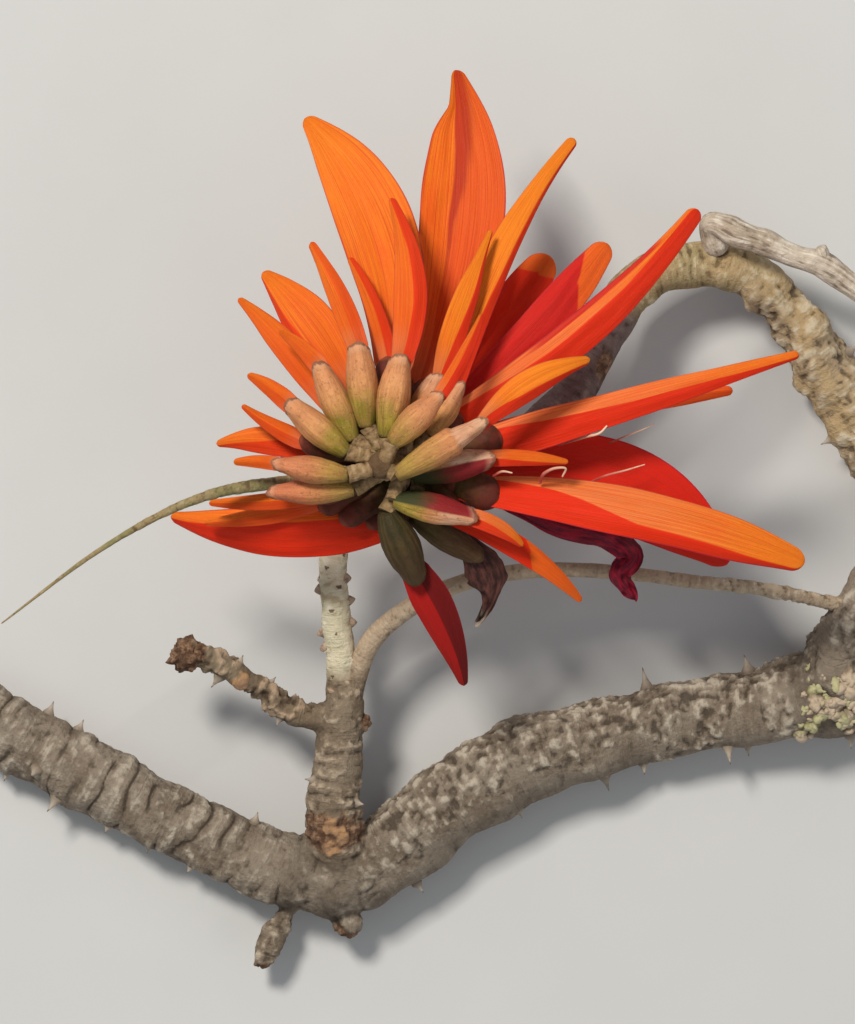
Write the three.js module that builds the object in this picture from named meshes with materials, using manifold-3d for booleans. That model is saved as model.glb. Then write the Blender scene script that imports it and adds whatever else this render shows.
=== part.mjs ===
// A cut flowering branch of a coral tree, lying on its two thick limbs.
// Millimetres, +Z up. +X runs to the right along the thick limb, +Y runs up the branch,
// and the bloom opens upwards, away from the surface that the branch lies on.
import * as THREE from 'three';
import { mergeVertices } from 'three/addons/utils/BufferGeometryUtils.js';
import Module from 'manifold-3d';

const wasm = await Module();
wasm.setup();

// Clearance between neighbouring pieces.
const FIT = 0.3;

// Bark: how far its lumps stand out, as a share of the limb's radius, with how many lie round
// the limb and how far the two sets of lumps turn along it, in radians.
const LUMP = 0.05;
const LUMPS_ROUND = [2, 3];
const LUMPS_TURN = [11, -23];

// Thorns: base radius, and how deep the base is sunk in the bark.
const THORN_BASE = 1.5;
const THORN_SUNK = 1.6;
const THORN_SIDES = 5;

// The bloom is set out in polar form about the tip of its stalk: a clock angle in degrees,
// a reach from the tip and a height above the surface.
const BLOOM_TIP = [-10.3, 8.8];

// Calyx: sides, radius at stations along its length as a share of the full radius,
// and how far its torn mouth is slanted.
const CALYX_SIDES = 8;
const CALYX_FORM = [[0, 0.34], [0.07, 0.5], [0.2, 0.64], [0.38, 0.9], [0.56, 1], [0.76, 0.92], [1, 0.66]];
const MOUTH_SLANT = 0.8;

// Shoots of the stalk: the pedicels of the front ring and the hidden calyces behind it, with
// their radii from the stalk outwards. A shoot to a point at the height SHOOT_LOW leaves the
// stalk's foot, and one to a point SHOOT_RISE above that leaves its tip, within SHOOT_SPAN.
const SHOOT_SIDES = 5;
const SHOOT_STEPS = 3;
const SHOOT_LOW = 34;
const SHOOT_RISE = 36;
const SHOOT_SPAN = [0.1, 0.95];
const PEDICEL_GIRTH = [1.5, 1.3, 1.2, 1.3];
const HIDDEN_GIRTH = [1.1, 1.6, 2.1, 2.2];

// Petal: thickness at the midrib, half width of its claw, stations and how they crowd to the
// tip, how soon the claw opens into the blade, and the usual roundness of the tip (0.5 is round).
const PETAL_THICK = 0.9;
const PETAL_CLAW = 1.1;
const PETAL_STATIONS = 8;
const TIP_CLOSENESS = 1.5;
const OPENING = 1.8;
const BLUNT = 0.6;

// Across a petal: the places of the points on its outer and inner faces as shares of the half
// width, how the fold curves, the height it turns about, and the share of length that it takes
// to leave the flat claw.
const OUTER_ACROSS = [1, 0.5, 0, -0.5, -1];
const INNER_ACROSS = [-0.55, 0, 0.55];
const FOLD_CURVE = 1.5;
const FOLD_LEVEL = 0.5;
const FOLD_START = 0.33;

// Colours of the materials.
const GREY_BARK = { color: 0x8a7a68, roughness: 0.9 };
const PALE_BARK = { color: 0xcfc3aa, roughness: 0.85 };
const TWIG_BARK = { color: 0x937c66, roughness: 0.7 };
const TAN_BARK = { color: 0xa8885f, roughness: 0.85 };
const DARK_BARK = { color: 0x5c4740, roughness: 0.6 };
const CALYX_SKIN = { color: 0x9a6a3c, roughness: 0.6 };
const PETAL_ORANGE = { color: 0xe8551c, roughness: 0.5 };
const PETAL_CRIMSON = { color: 0xb3160f, roughness: 0.5 };
const PETAL_WILTED = { color: 0x4a1220, roughness: 0.7 };

// Limbs. Each has a route of hand-set points, its radius at even spacing along the route,
// and thorns as [share of the length, degrees round from the top to the left, height].
const LIMBS = {
  limb_right: {
    route: [[-22, -75.5, 9], [-10.5, -71, 8.8], [4.5, -59, 8.8], [20.5, -50, 8.8], [37, -45, 8],
      [55, -41, 8], [68, -39, 8.6], [82, -36, 10], [96, -33.5, 10]],
    girth: [7.6, 8.2, 8.4, 8.6, 8.3, 7.4, 7.2, 7.6, 9.5, 10.5],
    sides: 12,
    step: 7.5,
    bark: GREY_BARK,
    thorns: [[0.17, -90, 3.2], [0.4, -85, 3.2], [0.54, -95, 3], [0.6, -90, 3.4], [0.71, -70, 4.4],
      [0.74, -95, 3], [0.9, -90, 3.4], [0.3, 65, 2.6], [0.63, 90, 4.2], [0.76, 85, 3.6]],
  },
  limb_left: {
    route: [[-96.5, -36.5, 7.6], [-86, -43.5, 7], [-64.5, -55.5, 8.2], [-44, -66, 7.5], [-31, -71.5, 8],
      [-17, -75, 8.8]],
    girth: [6.8, 7.1, 7.4, 7, 6.8, 7.4, 7.8],
    sides: 12,
    step: 7,
    bark: GREY_BARK,
    thorns: [[0.07, 90, 4], [0.15, 85, 3.6], [0.62, 80, 3.2], [0.08, 30, 3.4], [0.1, -85, 3.2],
      [0.2, -60, 4.4], [0.36, -95, 3], [0.45, -90, 3.2], [0.58, -90, 3.6], [0.33, 20, 2.4]],
  },
  spur: {
    route: [[-17, -71, 9], [-18.5, -65, 14], [-19, -58.5, 15.5], [-18, -50.5, 16.5], [-17.5, -39, 17.5]],
    girth: [6.4, 6.2, 5.6, 5, 4.7, 4],
    sides: 10,
    step: 2.3,
    rings: 7,
    ripple: 0.07,
    bark: GREY_BARK,
    thorns: [[0.55, 60, 2], [0.45, -60, 2]],
  },
  stub_twig: {
    route: [[-18.5, -42, 17.5], [-27.5, -40, 18], [-33, -36, 19], [-38.5, -32.5, 20.5], [-43, -30, 21.5],
      [-50, -28.3, 22.5]],
    girth: [3, 2.9, 2.5, 2.3, 2.4, 3.2, 3.5, 2.6],
    sides: 9,
    step: 2.8,
    rings: 7,
    ripple: 0.08,
    bark: GREY_BARK,
    thorns: [[0.66, -70, 3], [0.3, 95, 2.6], [0.75, 90, 2.6]],
  },
  pale_stem: {
    route: [[-17.5, -41, 17.5], [-17.5, -29.5, 19.5], [-18.5, -19.5, 21.5], [-19, -10.5, 24],
      [-16.5, 0, 26.5], [-7, 9, 29], [7, 12.5, 31]],
    girth: [3, 2.9, 2.9, 2.8, 2.7, 2.6, 2.6],
    sides: 9,
    step: 4.5,
    bark: PALE_BARK,
    thorns: [[0.24, 85, 2.6], [0.3, -85, 2.8], [0.26, -95, 2.2], [0.38, -80, 2.4], [0.4, 85, 2.6],
      [0.34, 10, 1.8]],
  },
  arch_twig_low: {
    route: [[-16.5, -40, 18], [-14.5, -33.5, 19], [-11, -25.5, 21.5], [-2.5, -18.5, 24], [7.5, -14, 26],
      [18, -12, 27]],
    girth: [2.6, 2.2, 2, 1.8, 1.6],
    sides: 8,
    step: 3.6,
    bark: TWIG_BARK,
  },
  arch_twig_high: {
    route: [[18.3, -12, 27], [29.5, -11.6, 27], [42.5, -12.6, 26.5], [54.5, -14.1, 25.5], [68, -15.6, 22],
      [86, -19.5, 18]],
    girth: [1.6, 1.5, 1.4, 1.3, 1.4, 1.3],
    sides: 8,
    step: 4,
    bark: TWIG_BARK,
  },
  upper_limb: {
    route: [[97.5, 1.5, 7.2], [90, 13, 7.5], [84, 23.5, 9], [77, 34, 11], [70, 43, 13], [62.5, 49, 14.5]],
    girth: [6.4, 6.6, 6.4, 6.2, 5.6, 4.6],
    sides: 12,
    step: 5.5,
    bark: GREY_BARK,
    thorns: [[0.45, 80, 2.6], [0.25, -80, 2.8], [0.65, -80, 2.4]],
  },
  crook: {
    route: [[65, 47.5, 14], [58, 50, 15], [51, 49.5, 16], [44.5, 47.5, 17], [39.5, 42, 18]],
    girth: [4.4, 4.7, 4.6, 4.5, 4.3],
    sides: 10,
    step: 3.4,
    rings: 5,
    ripple: 0.05,
    bark: TAN_BARK,
  },
  dark_stem: {
    route: [[41, 45, 17.8], [37, 38, 19], [32.5, 30, 21], [27.5, 21.5, 23.5], [18.5, 14.5, 27.5],
      [4, 12.3, 31.5]],
    girth: [4.3, 4.3, 4.2, 4.1, 3.9, 3.4],
    sides: 10,
    step: 5,
    bark: DARK_BARK,
  },
  broken_twig: {
    route: [[58.5, 52, 17], [57, 58, 21.5], [62, 56, 23], [67, 54.4, 23.5], [74, 51.4, 24], [80, 49.2, 24],
      [86, 45.2, 24], [93.5, 40.5, 24]],
    girth: [2.6, 2.8, 2.6, 2.4, 2.5, 2.5, 2.4],
    sides: 8,
    step: 4,
    bark: GREY_BARK,
  },
  tail: {
    route: [[-9, 9, 53.5], [-19.5, 6.8, 55], [-28.5, 5.8, 57.5], [-40, 4.2, 60.5], [-50.5, 0.4, 62],
      [-65, -7.8, 61.5], [-84, -22, 60]],
    girth: [1.6, 1.4, 1.2, 0.9, 0.7, 0.5, 0.4],
    sides: 6,
    step: 5,
    bark: TWIG_BARK,
  },
};

// Side growths fused to a limb: a fork cut short, a broken stub and a bud.
const FORK = {
  route: [[82, -35, 12], [86, -26, 14.5], [90, -18, 16], [95, -9.5, 16]],
  girth: [8.6, 8.2, 7, 6.4],
  sides: 12,
  step: 5.5,
};
const LOWER_STUB = {
  route: [[-25.5, -76, 7.5], [-29, -82, 7.2], [-31.5, -86.5, 7.6], [-33.5, -92, 8]],
  girth: [2.8, 2.5, 2.3, 2.8, 2],
  sides: 8,
  step: 2.4,
};
const BOTTOM_BUD = { at: [-16, -83, 8.6], radius: 2.9 };
const SIDE_BUD = { at: [-12.6, -42.6, 17.6], radius: 2 };
const END_KNOB = { at: [-48, -28.8, 22.4], radius: 3.6 };

// The stalk of the bloom, from the fork of the stems up to its tip.
const STALK = {
  route: [[8.5, 12.5, 29], [4, 12, 40], [-3, 10.5, 54], [-10.3, 8.8, 67.5]],
  girth: [4, 3.6, 3.4, 3.2, 2.6],
  sides: 8,
  step: 4.5,
};

// Calyces of the front ring, from the stalk to the mouth, with their full width.
const CALYXES = {
  calyx_01: { base: [101, 8.2, 64], mouth: [98, 24.2, 67], width: 6.4 },
  calyx_02: { base: [70, 6.4, 65], mouth: [77, 22.2, 67.5], width: 6.6 },
  calyx_03: { base: [129, 7, 63], mouth: [119, 23, 65.5], width: 6 },
  calyx_04: { base: [153, 6.3, 64], mouth: [143.5, 21, 66], width: 6 },
  calyx_05: { base: [54, 5.8, 67.5], mouth: [48, 19, 70], width: 6 },
  calyx_06: { base: [46, 9, 60], mouth: [54.5, 21.6, 61], width: 5.2 },
  calyx_07: { base: [30, 12.4, 59], mouth: [44, 23.4, 59.5], width: 5 },
  calyx_08: { base: [-20, 4.4, 66.5], mouth: [22.6, 23.2, 68.6], width: 5.8 },
  calyx_09: { base: [-12, 7.5, 59], mouth: [4.4, 23, 61], width: 5.6 },
  calyx_10: { base: [196, 5.6, 66], mouth: [178, 19.6, 67], width: 5.4 },
  calyx_11: { base: [226, 6, 61], mouth: [193.5, 21, 60.5], width: 5.4 },
  calyx_12: { base: [-60, 7.4, 60], mouth: [-27, 21.8, 61], width: 4.8 },
  calyx_13: { base: [-76, 9, 57], mouth: [-70, 23, 51], width: 6.4 },
  calyx_14: { base: [-52, 12, 52], mouth: [-41, 26.4, 47], width: 6 },
};

// Petals: mouth and tip, full width and its place along the length, bow to the left and arch
// upwards at mid length, fold of the two halves (below 0 the keel faces up), roll of the face
// to the left in degrees, and how blunt the tip is. A claw ends in the mouth of a calyx.
const PETALS = {
  petal_01: { mouth: [62, 20, 50], tip: [77.6, 80.2, 42], width: 16.8, full: 0.58,
    bow: -4.4, arch: 3, fold: 0.3, blunt: 0.75 },
  petal_02: { mouth: [80, 21, 56], tip: [100.6, 71.2, 50], width: 15.6, full: 0.52,
    bow: -6, arch: 3, fold: 0.2, blunt: 0.8 },
  petal_03: { mouth: [76, 22.8, 67.5], tip: [86, 53, 64], width: 6.6, full: 0.5,
    bow: -2.6, arch: 2, fold: -0.6 },
  petal_04: { mouth: [46, 22, 57], tip: [58.8, 76, 53], width: 7, full: 0.58,
    bow: 3.2, arch: 2, fold: -0.6 },
  petal_05: { mouth: [54.5, 22.2, 61], tip: [64, 52, 60], width: 6, full: 0.5,
    bow: 0.4, arch: 1, fold: -0.5 },
  petal_06: { mouth: [32, 20, 57], tip: [38.6, 81.6, 55], width: 7.8, full: 0.6,
    bow: -3.4, arch: 2, fold: -0.8, roll: -15 },
  petal_07: { mouth: [40, 18, 44], tip: [50.5, 54.6, 40], width: 8.4, full: 0.78,
    bow: 0.6, arch: 1, fold: -0.3 },
  petal_08: { mouth: [36, 19, 49], tip: [44, 64, 46], width: 8, full: 0.78,
    bow: -1.2, arch: 1, fold: -0.3 },
  petal_09: { mouth: [23.4, 23.8, 68], tip: [26.6, 46.8, 66], width: 7, full: 0.55,
    bow: 0.8, arch: 2, fold: -0.6, roll: -10 },
  petal_10: { mouth: [10, 18, 55], tip: [15, 86.4, 60], width: 7.4, full: 0.36,
    bow: 0, arch: 1, fold: -0.8, roll: -10, blunt: 0.9 },
  petal_11: { mouth: [12, 20, 48], tip: [12, 72.4, 49], width: 5, full: 0.6,
    bow: 0, arch: 0, fold: -0.4 },
  petal_12: { mouth: [-14, 16, 54], tip: [-12.5, 87, 51], width: 9.8, full: 0.52,
    bow: 2.8, arch: 3, fold: -0.5, roll: 20 },
  petal_13: { mouth: [-2, 17, 44], tip: [-15.6, 72.4, 38], width: 16.4, full: 0.62,
    bow: 6, arch: 3, fold: -0.2, roll: -10 },
  petal_14: { mouth: [4.4, 23.6, 61], tip: [1.5, 38, 61], width: 3.6, full: 0.45,
    bow: 0.4, arch: 0.5, fold: -0.5 },
  petal_15: { mouth: [-32, 18, 54], tip: [-33, 48.4, 48], width: 5.6, full: 0.55,
    bow: 2.4, arch: 2, fold: -0.5, roll: 15 },
  petal_16: { mouth: [-27, 22.4, 61], tip: [-28, 32, 59], width: 4.6, full: 0.4,
    bow: 0.8, arch: 0.5, fold: -0.5, roll: 15 },
  petal_17: { mouth: [-69, 23, 50], tip: [-68, 46.8, 38], width: 6.6, full: 0.4,
    bow: 2.2, arch: 2, fold: -0.4, roll: -20 },
  petal_18: { mouth: [-41, 27, 46.6], tip: [-56, 35.8, 38], width: 7.4, full: 0.26,
    bow: 2.6, arch: 1, fold: -0.4, blunt: 0.9 },
  petal_19: { mouth: [-14, 25, 40], tip: [-27, 57.8, 33], width: 8, full: 0.6,
    bow: 5, arch: 2, fold: -0.5 },
  petal_20: { mouth: [-57, 9, 47], tip: [193.4, 42, 38], width: 11.4, full: 0.42,
    bow: 4.6, arch: 4, fold: -0.5, roll: 25 },
  petal_21: { mouth: [165, 14, 54], tip: [171.6, 31.8, 50], width: 5.6, full: 0.5,
    bow: -1.4, arch: 1, fold: -0.5, roll: -10 },
  petal_22: { mouth: [178, 20.2, 67], tip: [178, 27.8, 66], width: 2.6, full: 0.4,
    bow: -0.3, arch: 0, fold: -0.3 },
  petal_23: { mouth: [160, 16, 59.5], tip: [155, 29, 58], width: 3.2, full: 0.5,
    bow: 0.4, arch: 0.4, fold: -0.4 },
  petal_24: { mouth: [143.5, 21.6, 66], tip: [144, 31, 65], width: 4, full: 0.4,
    bow: -0.4, arch: 0.4, fold: -0.5 },
  petal_25: { mouth: [127, 17, 58], tip: [129, 43, 54], width: 5.6, full: 0.5,
    bow: -1, arch: 1, fold: -0.5 },
  petal_26: { mouth: [108, 16.6, 51], tip: [120, 44.8, 45], width: 10, full: 0.55,
    bow: -1.4, arch: 1.5, fold: -0.25 },
  petal_27: { mouth: [98, 24.8, 67], tip: [106, 46, 63], width: 4.6, full: 0.4,
    bow: -0.6, arch: 1, fold: -0.6 },
  petal_28: { mouth: [84, 22, 61.5], tip: [97, 41.6, 59], width: 4.4, full: 0.5,
    bow: -1, arch: 0.5, fold: -0.5 },
  petal_29: { mouth: [119, 23.6, 65.5], tip: [125, 32.8, 64], width: 3.4, full: 0.4,
    bow: -0.4, arch: 0.4, fold: -0.4 },
  petal_30: { mouth: [48, 19.6, 70], tip: [55, 36.6, 69], width: 3.8, full: 0.4,
    bow: -0.6, arch: 0.4, fold: -0.6 },
  petal_31: { mouth: [205, 14, 55.5], tip: [192, 33.6, 53], width: 3.4, full: 0.5,
    bow: 0.4, arch: 1, fold: -0.4 },
  petal_32: { mouth: [212, 13, 52], tip: [198, 35.6, 47], width: 3.8, full: 0.5,
    bow: 0.6, arch: 1, fold: -0.4 },
};
const CRIMSON_PETALS = ['petal_07', 'petal_08', 'petal_11', 'petal_13', 'petal_15', 'petal_17',
  'petal_20'];
const WILTED_PETALS = ['petal_18', 'petal_19'];

// Petals whose calyx is one of the front ring. The others are fed by a hidden one.
const FRONT_FED = ['petal_03', 'petal_05', 'petal_09', 'petal_14', 'petal_16', 'petal_17',
  'petal_18', 'petal_22', 'petal_24', 'petal_27', 'petal_29', 'petal_30'];

// A point of the bloom from its clock angle, reach and height.
function around([clock, reach, height]) {
  const angle = THREE.MathUtils.degToRad(clock);
  return new THREE.Vector3(
    BLOOM_TIP[0] + reach * Math.cos(angle),
    BLOOM_TIP[1] + reach * Math.sin(angle),
    height,
  );
}

// A closed solid through rings of points. The first and the last ring are single points.
function loft(rings) {
  const positions = [];
  const starts = [];
  for (const ring of rings) {
    starts.push(positions.length / 3);
    for (const point of ring) positions.push(point.x, point.y, point.z);
  }
  const index = [];
  for (let k = 0; k + 1 < rings.length; k += 1) {
    const here = rings[k].length;
    const next = rings[k + 1].length;
    const sides = Math.max(here, next);
    for (let i = 0; i < sides; i += 1) {
      const j = (i + 1) % sides;
      if (here > 1) index.push(starts[k] + i, starts[k] + j, starts[k + 1] + (next > 1 ? j : 0));
      if (next > 1) index.push(starts[k] + (here > 1 ? i : 0), starts[k + 1] + j, starts[k + 1] + i);
    }
  }
  return new wasm.Manifold(new wasm.Mesh({
    numProp: 3,
    vertProperties: new Float32Array(positions),
    triVerts: new Uint32Array(index),
  }));
}

// A solid from one of the library's closed geometries.
function solidOf(geometry) {
  geometry.deleteAttribute('normal');
  geometry.deleteAttribute('uv');
  const merged = mergeVertices(geometry);
  return new wasm.Manifold(new wasm.Mesh({
    numProp: 3,
    vertProperties: new Float32Array(merged.attributes.position.array),
    triVerts: new Uint32Array(merged.index.array),
  }));
}

// A value between the entries of an evenly spaced list, at share u of its length.
function between(list, u) {
  const place = THREE.MathUtils.clamp(u, 0, 1) * (list.length - 1);
  const low = Math.min(Math.floor(place), list.length - 2);
  return THREE.MathUtils.lerp(list[low], list[low + 1], place - low);
}

// Up and left of a course that runs along a tangent.
function courseAxes(tangent) {
  const up = new THREE.Vector3(0, 0, 1);
  up.addScaledVector(tangent, -up.dot(tangent)).normalize();
  const left = new THREE.Vector3().crossVectors(up, tangent);
  return { up, left };
}

function routeCurve(route) {
  return new THREE.CatmullRomCurve3(route.map((p) => new THREE.Vector3(...p)), false, 'centripetal');
}

// A tapering limb with lumpy bark, cross ridges where leaves have fallen, and flat cut ends.
function limbSolid({ route, girth, sides, step, rings = 0, ripple = 0 }, grow = 0) {
  const curve = routeCurve(route);
  const count = Math.round(curve.getLength() / step);
  const frames = curve.computeFrenetFrames(count, false);
  const loops = [];
  for (let k = 0; k <= count; k += 1) {
    const u = k / count;
    const centre = curve.getPointAt(u);
    if (k === 0) centre.addScaledVector(frames.tangents[k], -grow);
    if (k === count) centre.addScaledVector(frames.tangents[k], grow);
    const radius = between(girth, u) * (1 + ripple * Math.cos(2 * Math.PI * rings * u));
    const loop = [];
    for (let i = 0; i < sides; i += 1) {
      const angle = (2 * Math.PI * i) / sides;
      const waves = LUMPS_ROUND.map((lumps, n) => Math.sin(lumps * angle + LUMPS_TURN[n] * u));
      const out = radius * (1 + LUMP * waves[0] * waves[1]) + grow;
      loop.push(centre.clone()
        .addScaledVector(frames.normals[k], out * Math.cos(angle))
        .addScaledVector(frames.binormals[k], out * Math.sin(angle)));
    }
    if (k === 0) loops.push([centre]);
    loops.push(loop);
    if (k === count) loops.push([centre]);
  }
  return loft(loops);
}

// A thorn that stands on a limb, its base sunk in the bark.
function thornSolid({ route, girth }, [share, degrees, height], grow = 0) {
  const curve = routeCurve(route);
  const { up, left } = courseAxes(curve.getTangentAt(share));
  const angle = THREE.MathUtils.degToRad(degrees);
  const out = up.multiplyScalar(Math.cos(angle)).addScaledVector(left, Math.sin(angle));
  const length = height + THORN_SUNK + grow;
  const cone = new THREE.ConeGeometry(THORN_BASE + grow, length, THORN_SIDES);
  cone.applyQuaternion(new THREE.Quaternion().setFromUnitVectors(new THREE.Vector3(0, 1, 0), out));
  const foot = between(girth, share) - THORN_SUNK;
  const centre = curve.getPointAt(share).addScaledVector(out, foot + length / 2);
  cone.translate(centre.x, centre.y, centre.z);
  return solidOf(cone);
}

function budSolid({ at, radius }, grow = 0) {
  const ball = new THREE.IcosahedronGeometry(radius + grow, 1);
  ball.translate(...at);
  return solidOf(ball);
}

// A limb with its thorns and its side growths.
function woodSolid(name, grow = 0) {
  const limb = LIMBS[name];
  let solid = limbSolid(limb, grow);
  for (const thorn of limb.thorns ?? []) solid = solid.add(thornSolid(limb, thorn, grow));
  if (name === 'limb_right') solid = solid.add(limbSolid(FORK, grow)).add(budSolid(BOTTOM_BUD, grow));
  if (name === 'limb_left') solid = solid.add(limbSolid(LOWER_STUB, grow));
  if (name === 'spur') solid = solid.add(budSolid(SIDE_BUD, grow));
  if (name === 'stub_twig') solid = solid.add(budSolid(END_KNOB, grow));
  return solid;
}

// A calyx: a narrow base, a full body and a slanted, open-looking mouth.
function calyxSolid({ base, mouth, width }, grow = 0) {
  const from = around(base);
  const to = around(mouth);
  const along = to.clone().sub(from).normalize();
  const { up, left } = courseAxes(along);
  const loops = [];
  for (const [share, full] of CALYX_FORM) {
    const centre = from.clone().lerp(to, share);
    const last = share === 1;
    const radius = (width / 2) * full + grow;
    if (share === 0) centre.addScaledVector(along, -grow);
    const loop = [];
    for (let i = 0; i < CALYX_SIDES; i += 1) {
      const angle = (2 * Math.PI * i) / CALYX_SIDES;
      const slant = last ? grow - MOUTH_SLANT * Math.cos(angle) : 0;
      loop.push(centre.clone()
        .addScaledVector(up, radius * Math.cos(angle))
        .addScaledVector(left, -radius * Math.sin(angle))
        .addScaledVector(along, slant));
    }
    if (share === 0) loops.push([centre]);
    loops.push(loop);
    if (last) loops.push([centre.clone().addScaledVector(along, grow)]);
  }
  return loft(loops);
}

// The midrib of a petal.
function petalRib({ mouth, tip, bow, arch }) {
  const from = around(mouth);
  const to = around(tip);
  const { up, left } = courseAxes(to.clone().sub(from).normalize());
  const middle = from.clone().lerp(to, 0.5).addScaledVector(left, 2 * bow).addScaledVector(up, 2 * arch);
  return new THREE.QuadraticBezierCurve3(from, middle, to);
}

// Half the width of a petal at share t of its length: a claw that opens into the blade,
// and a blade that closes in a blunt tip.
function petalHalf({ width, full, blunt = BLUNT }, t) {
  if (t > full) return (width / 2) * (1 - ((t - full) / (1 - full)) ** 2) ** blunt;
  return PETAL_CLAW + (width / 2 - PETAL_CLAW) * (1 - (1 - t / full) ** OPENING);
}

// A petal: a thin blade folded along its midrib, from its claw to its tip.
function petalSolid(petal, grow = 0) {
  const curve = petalRib(petal);
  const roll = THREE.MathUtils.degToRad(petal.roll ?? 0);
  const thick = PETAL_THICK / 2;
  const loops = [];
  for (let k = 0; k < PETAL_STATIONS; k += 1) {
    const t = 1 - (1 - k / PETAL_STATIONS) ** TIP_CLOSENESS;
    const centre = curve.getPoint(t);
    const tangent = curve.getTangent(t);
    const { up, left } = courseAxes(tangent);
    if (k === 0) centre.addScaledVector(tangent, FIT - grow);
    const face = up.clone().multiplyScalar(Math.cos(roll)).addScaledVector(left, Math.sin(roll));
    const side = left.clone().multiplyScalar(Math.cos(roll)).addScaledVector(up, -Math.sin(roll));
    const half = petalHalf(petal, t);
    const fold = petal.fold * half * Math.min(1, t / FOLD_START);
    const point = (across, lift) => centre.clone()
      .addScaledVector(side, across * (half + grow))
      .addScaledVector(face, fold * (Math.abs(across) ** FOLD_CURVE - FOLD_LEVEL) + lift);
    const loop = [
      ...OUTER_ACROSS.map((s) => point(s, Math.abs(s) === 1 ? 0 : thick + grow)),
      ...INNER_ACROSS.map((s) => point(s, -thick - grow)),
    ];
    if (k === 0) loops.push([centre]);
    loops.push(loop);
  }
  loops.push([curve.getPoint(1)]);
  return loft(loops);
}

// A shoot from the stalk of the bloom to a point: a pedicel, or a hidden calyx that widens.
function shootSolid(to, girth, grow = 0) {
  const share = (to.z - SHOOT_LOW) / SHOOT_RISE;
  const root = routeCurve(STALK.route).getPoint(THREE.MathUtils.clamp(share, ...SHOOT_SPAN));
  const end = to.clone().addScaledVector(to.clone().sub(root).normalize(), grow);
  const curve = new THREE.LineCurve3(root, end);
  const frames = curve.computeFrenetFrames(SHOOT_STEPS, false);
  const loops = [[root]];
  for (let k = 0; k <= SHOOT_STEPS; k += 1) {
    const radius = between(girth, k / SHOOT_STEPS) + grow;
    const loop = [];
    for (let i = 0; i < SHOOT_SIDES; i += 1) {
      const angle = (2 * Math.PI * i) / SHOOT_SIDES;
      loop.push(curve.getPoint(k / SHOOT_STEPS)
        .addScaledVector(frames.normals[k], radius * Math.cos(angle))
        .addScaledVector(frames.binormals[k], radius * Math.sin(angle)));
    }
    loops.push(loop);
  }
  loops.push([end]);
  return loft(loops);
}

// The stalk of the bloom with the pedicels of the front ring and the hidden calyces.
function coreSolid(grow = 0) {
  let solid = limbSolid(STALK, grow);
  for (const { base } of Object.values(CALYXES)) {
    solid = solid.add(shootSolid(around(base), PEDICEL_GIRTH, grow));
  }
  for (const [name, { mouth }] of Object.entries(PETALS)) {
    if (!FRONT_FED.includes(name)) solid = solid.add(shootSolid(around(mouth), HIDDEN_GIRTH, grow));
  }
  return solid;
}

// The largest separate piece of a solid.
function largest(solid) {
  const bodies = solid.decompose();
  bodies.sort((a, b) => b.volume() - a.volume());
  return bodies[0];
}

function boxesMeet(a, b) {
  const p = a.boundingBox();
  const q = b.boundingBox();
  return [0, 1, 2].every((i) => p.min[i] < q.max[i] && q.min[i] < p.max[i]);
}

// Pieces in order of precedence: each later one is cut clear of the earlier ones it would meet.
const pieces = [];
function place(name, make, look) {
  let solid = make(0);
  for (const other of pieces) {
    if (!boxesMeet(solid, other.grown)) continue;
    if (solid.intersect(other.grown).volume() <= 0) continue;
    solid = largest(solid.subtract(other.grown));
  }
  pieces.push({ name, solid, grown: make(FIT), look });
}

for (const name of Object.keys(LIMBS)) {
  if (name !== 'tail') place(name, (grow) => woodSolid(name, grow), LIMBS[name].bark);
}
for (const name of Object.keys(CALYXES)) {
  place(name, (grow) => calyxSolid(CALYXES[name], grow), CALYX_SKIN);
}
place('raceme_core', coreSolid, CALYX_SKIN);
place('tail', (grow) => woodSolid('tail', grow), TWIG_BARK);
for (const name of Object.keys(PETALS)) {
  let look = PETAL_ORANGE;
  if (CRIMSON_PETALS.includes(name)) look = PETAL_CRIMSON;
  if (WILTED_PETALS.includes(name)) look = PETAL_WILTED;
  place(name, (grow) => petalSolid(PETALS[name], grow), look);
}

// One mesh for each piece.
const branch = new THREE.Group();
for (const { name, solid, look } of pieces) {
  const data = solid.getMesh();
  const geometry = new THREE.BufferGeometry();
  geometry.setAttribute('position', new THREE.BufferAttribute(data.vertProperties, 3));
  geometry.setIndex(new THREE.BufferAttribute(data.triVerts, 1));
  const mesh = new THREE.Mesh(geometry, new THREE.MeshStandardMaterial({ ...look, metalness: 0 }));
  mesh.name = name;
  branch.add(mesh);
}

// The frame's origin is under the middle of the branch, on the surface that it lies on.
const box = new THREE.Box3().setFromObject(branch);
const middle = box.getCenter(new THREE.Vector3());
branch.position.set(-middle.x, -middle.y, -box.min.z);

export default branch;
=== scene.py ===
"""A cut flowering branch of a coral tree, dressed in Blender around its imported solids.

The branch lies on its thick limbs with the bloom facing up, and the camera looks straight down on it.
Tables are in millimetres, in the plan of the branch. Its middle lies over the plan's origin, +X runs
right along the thick limb, +Y runs up the branch and +Z comes out of the bloom. Everything that is
built is in metres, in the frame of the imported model.
"""

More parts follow.
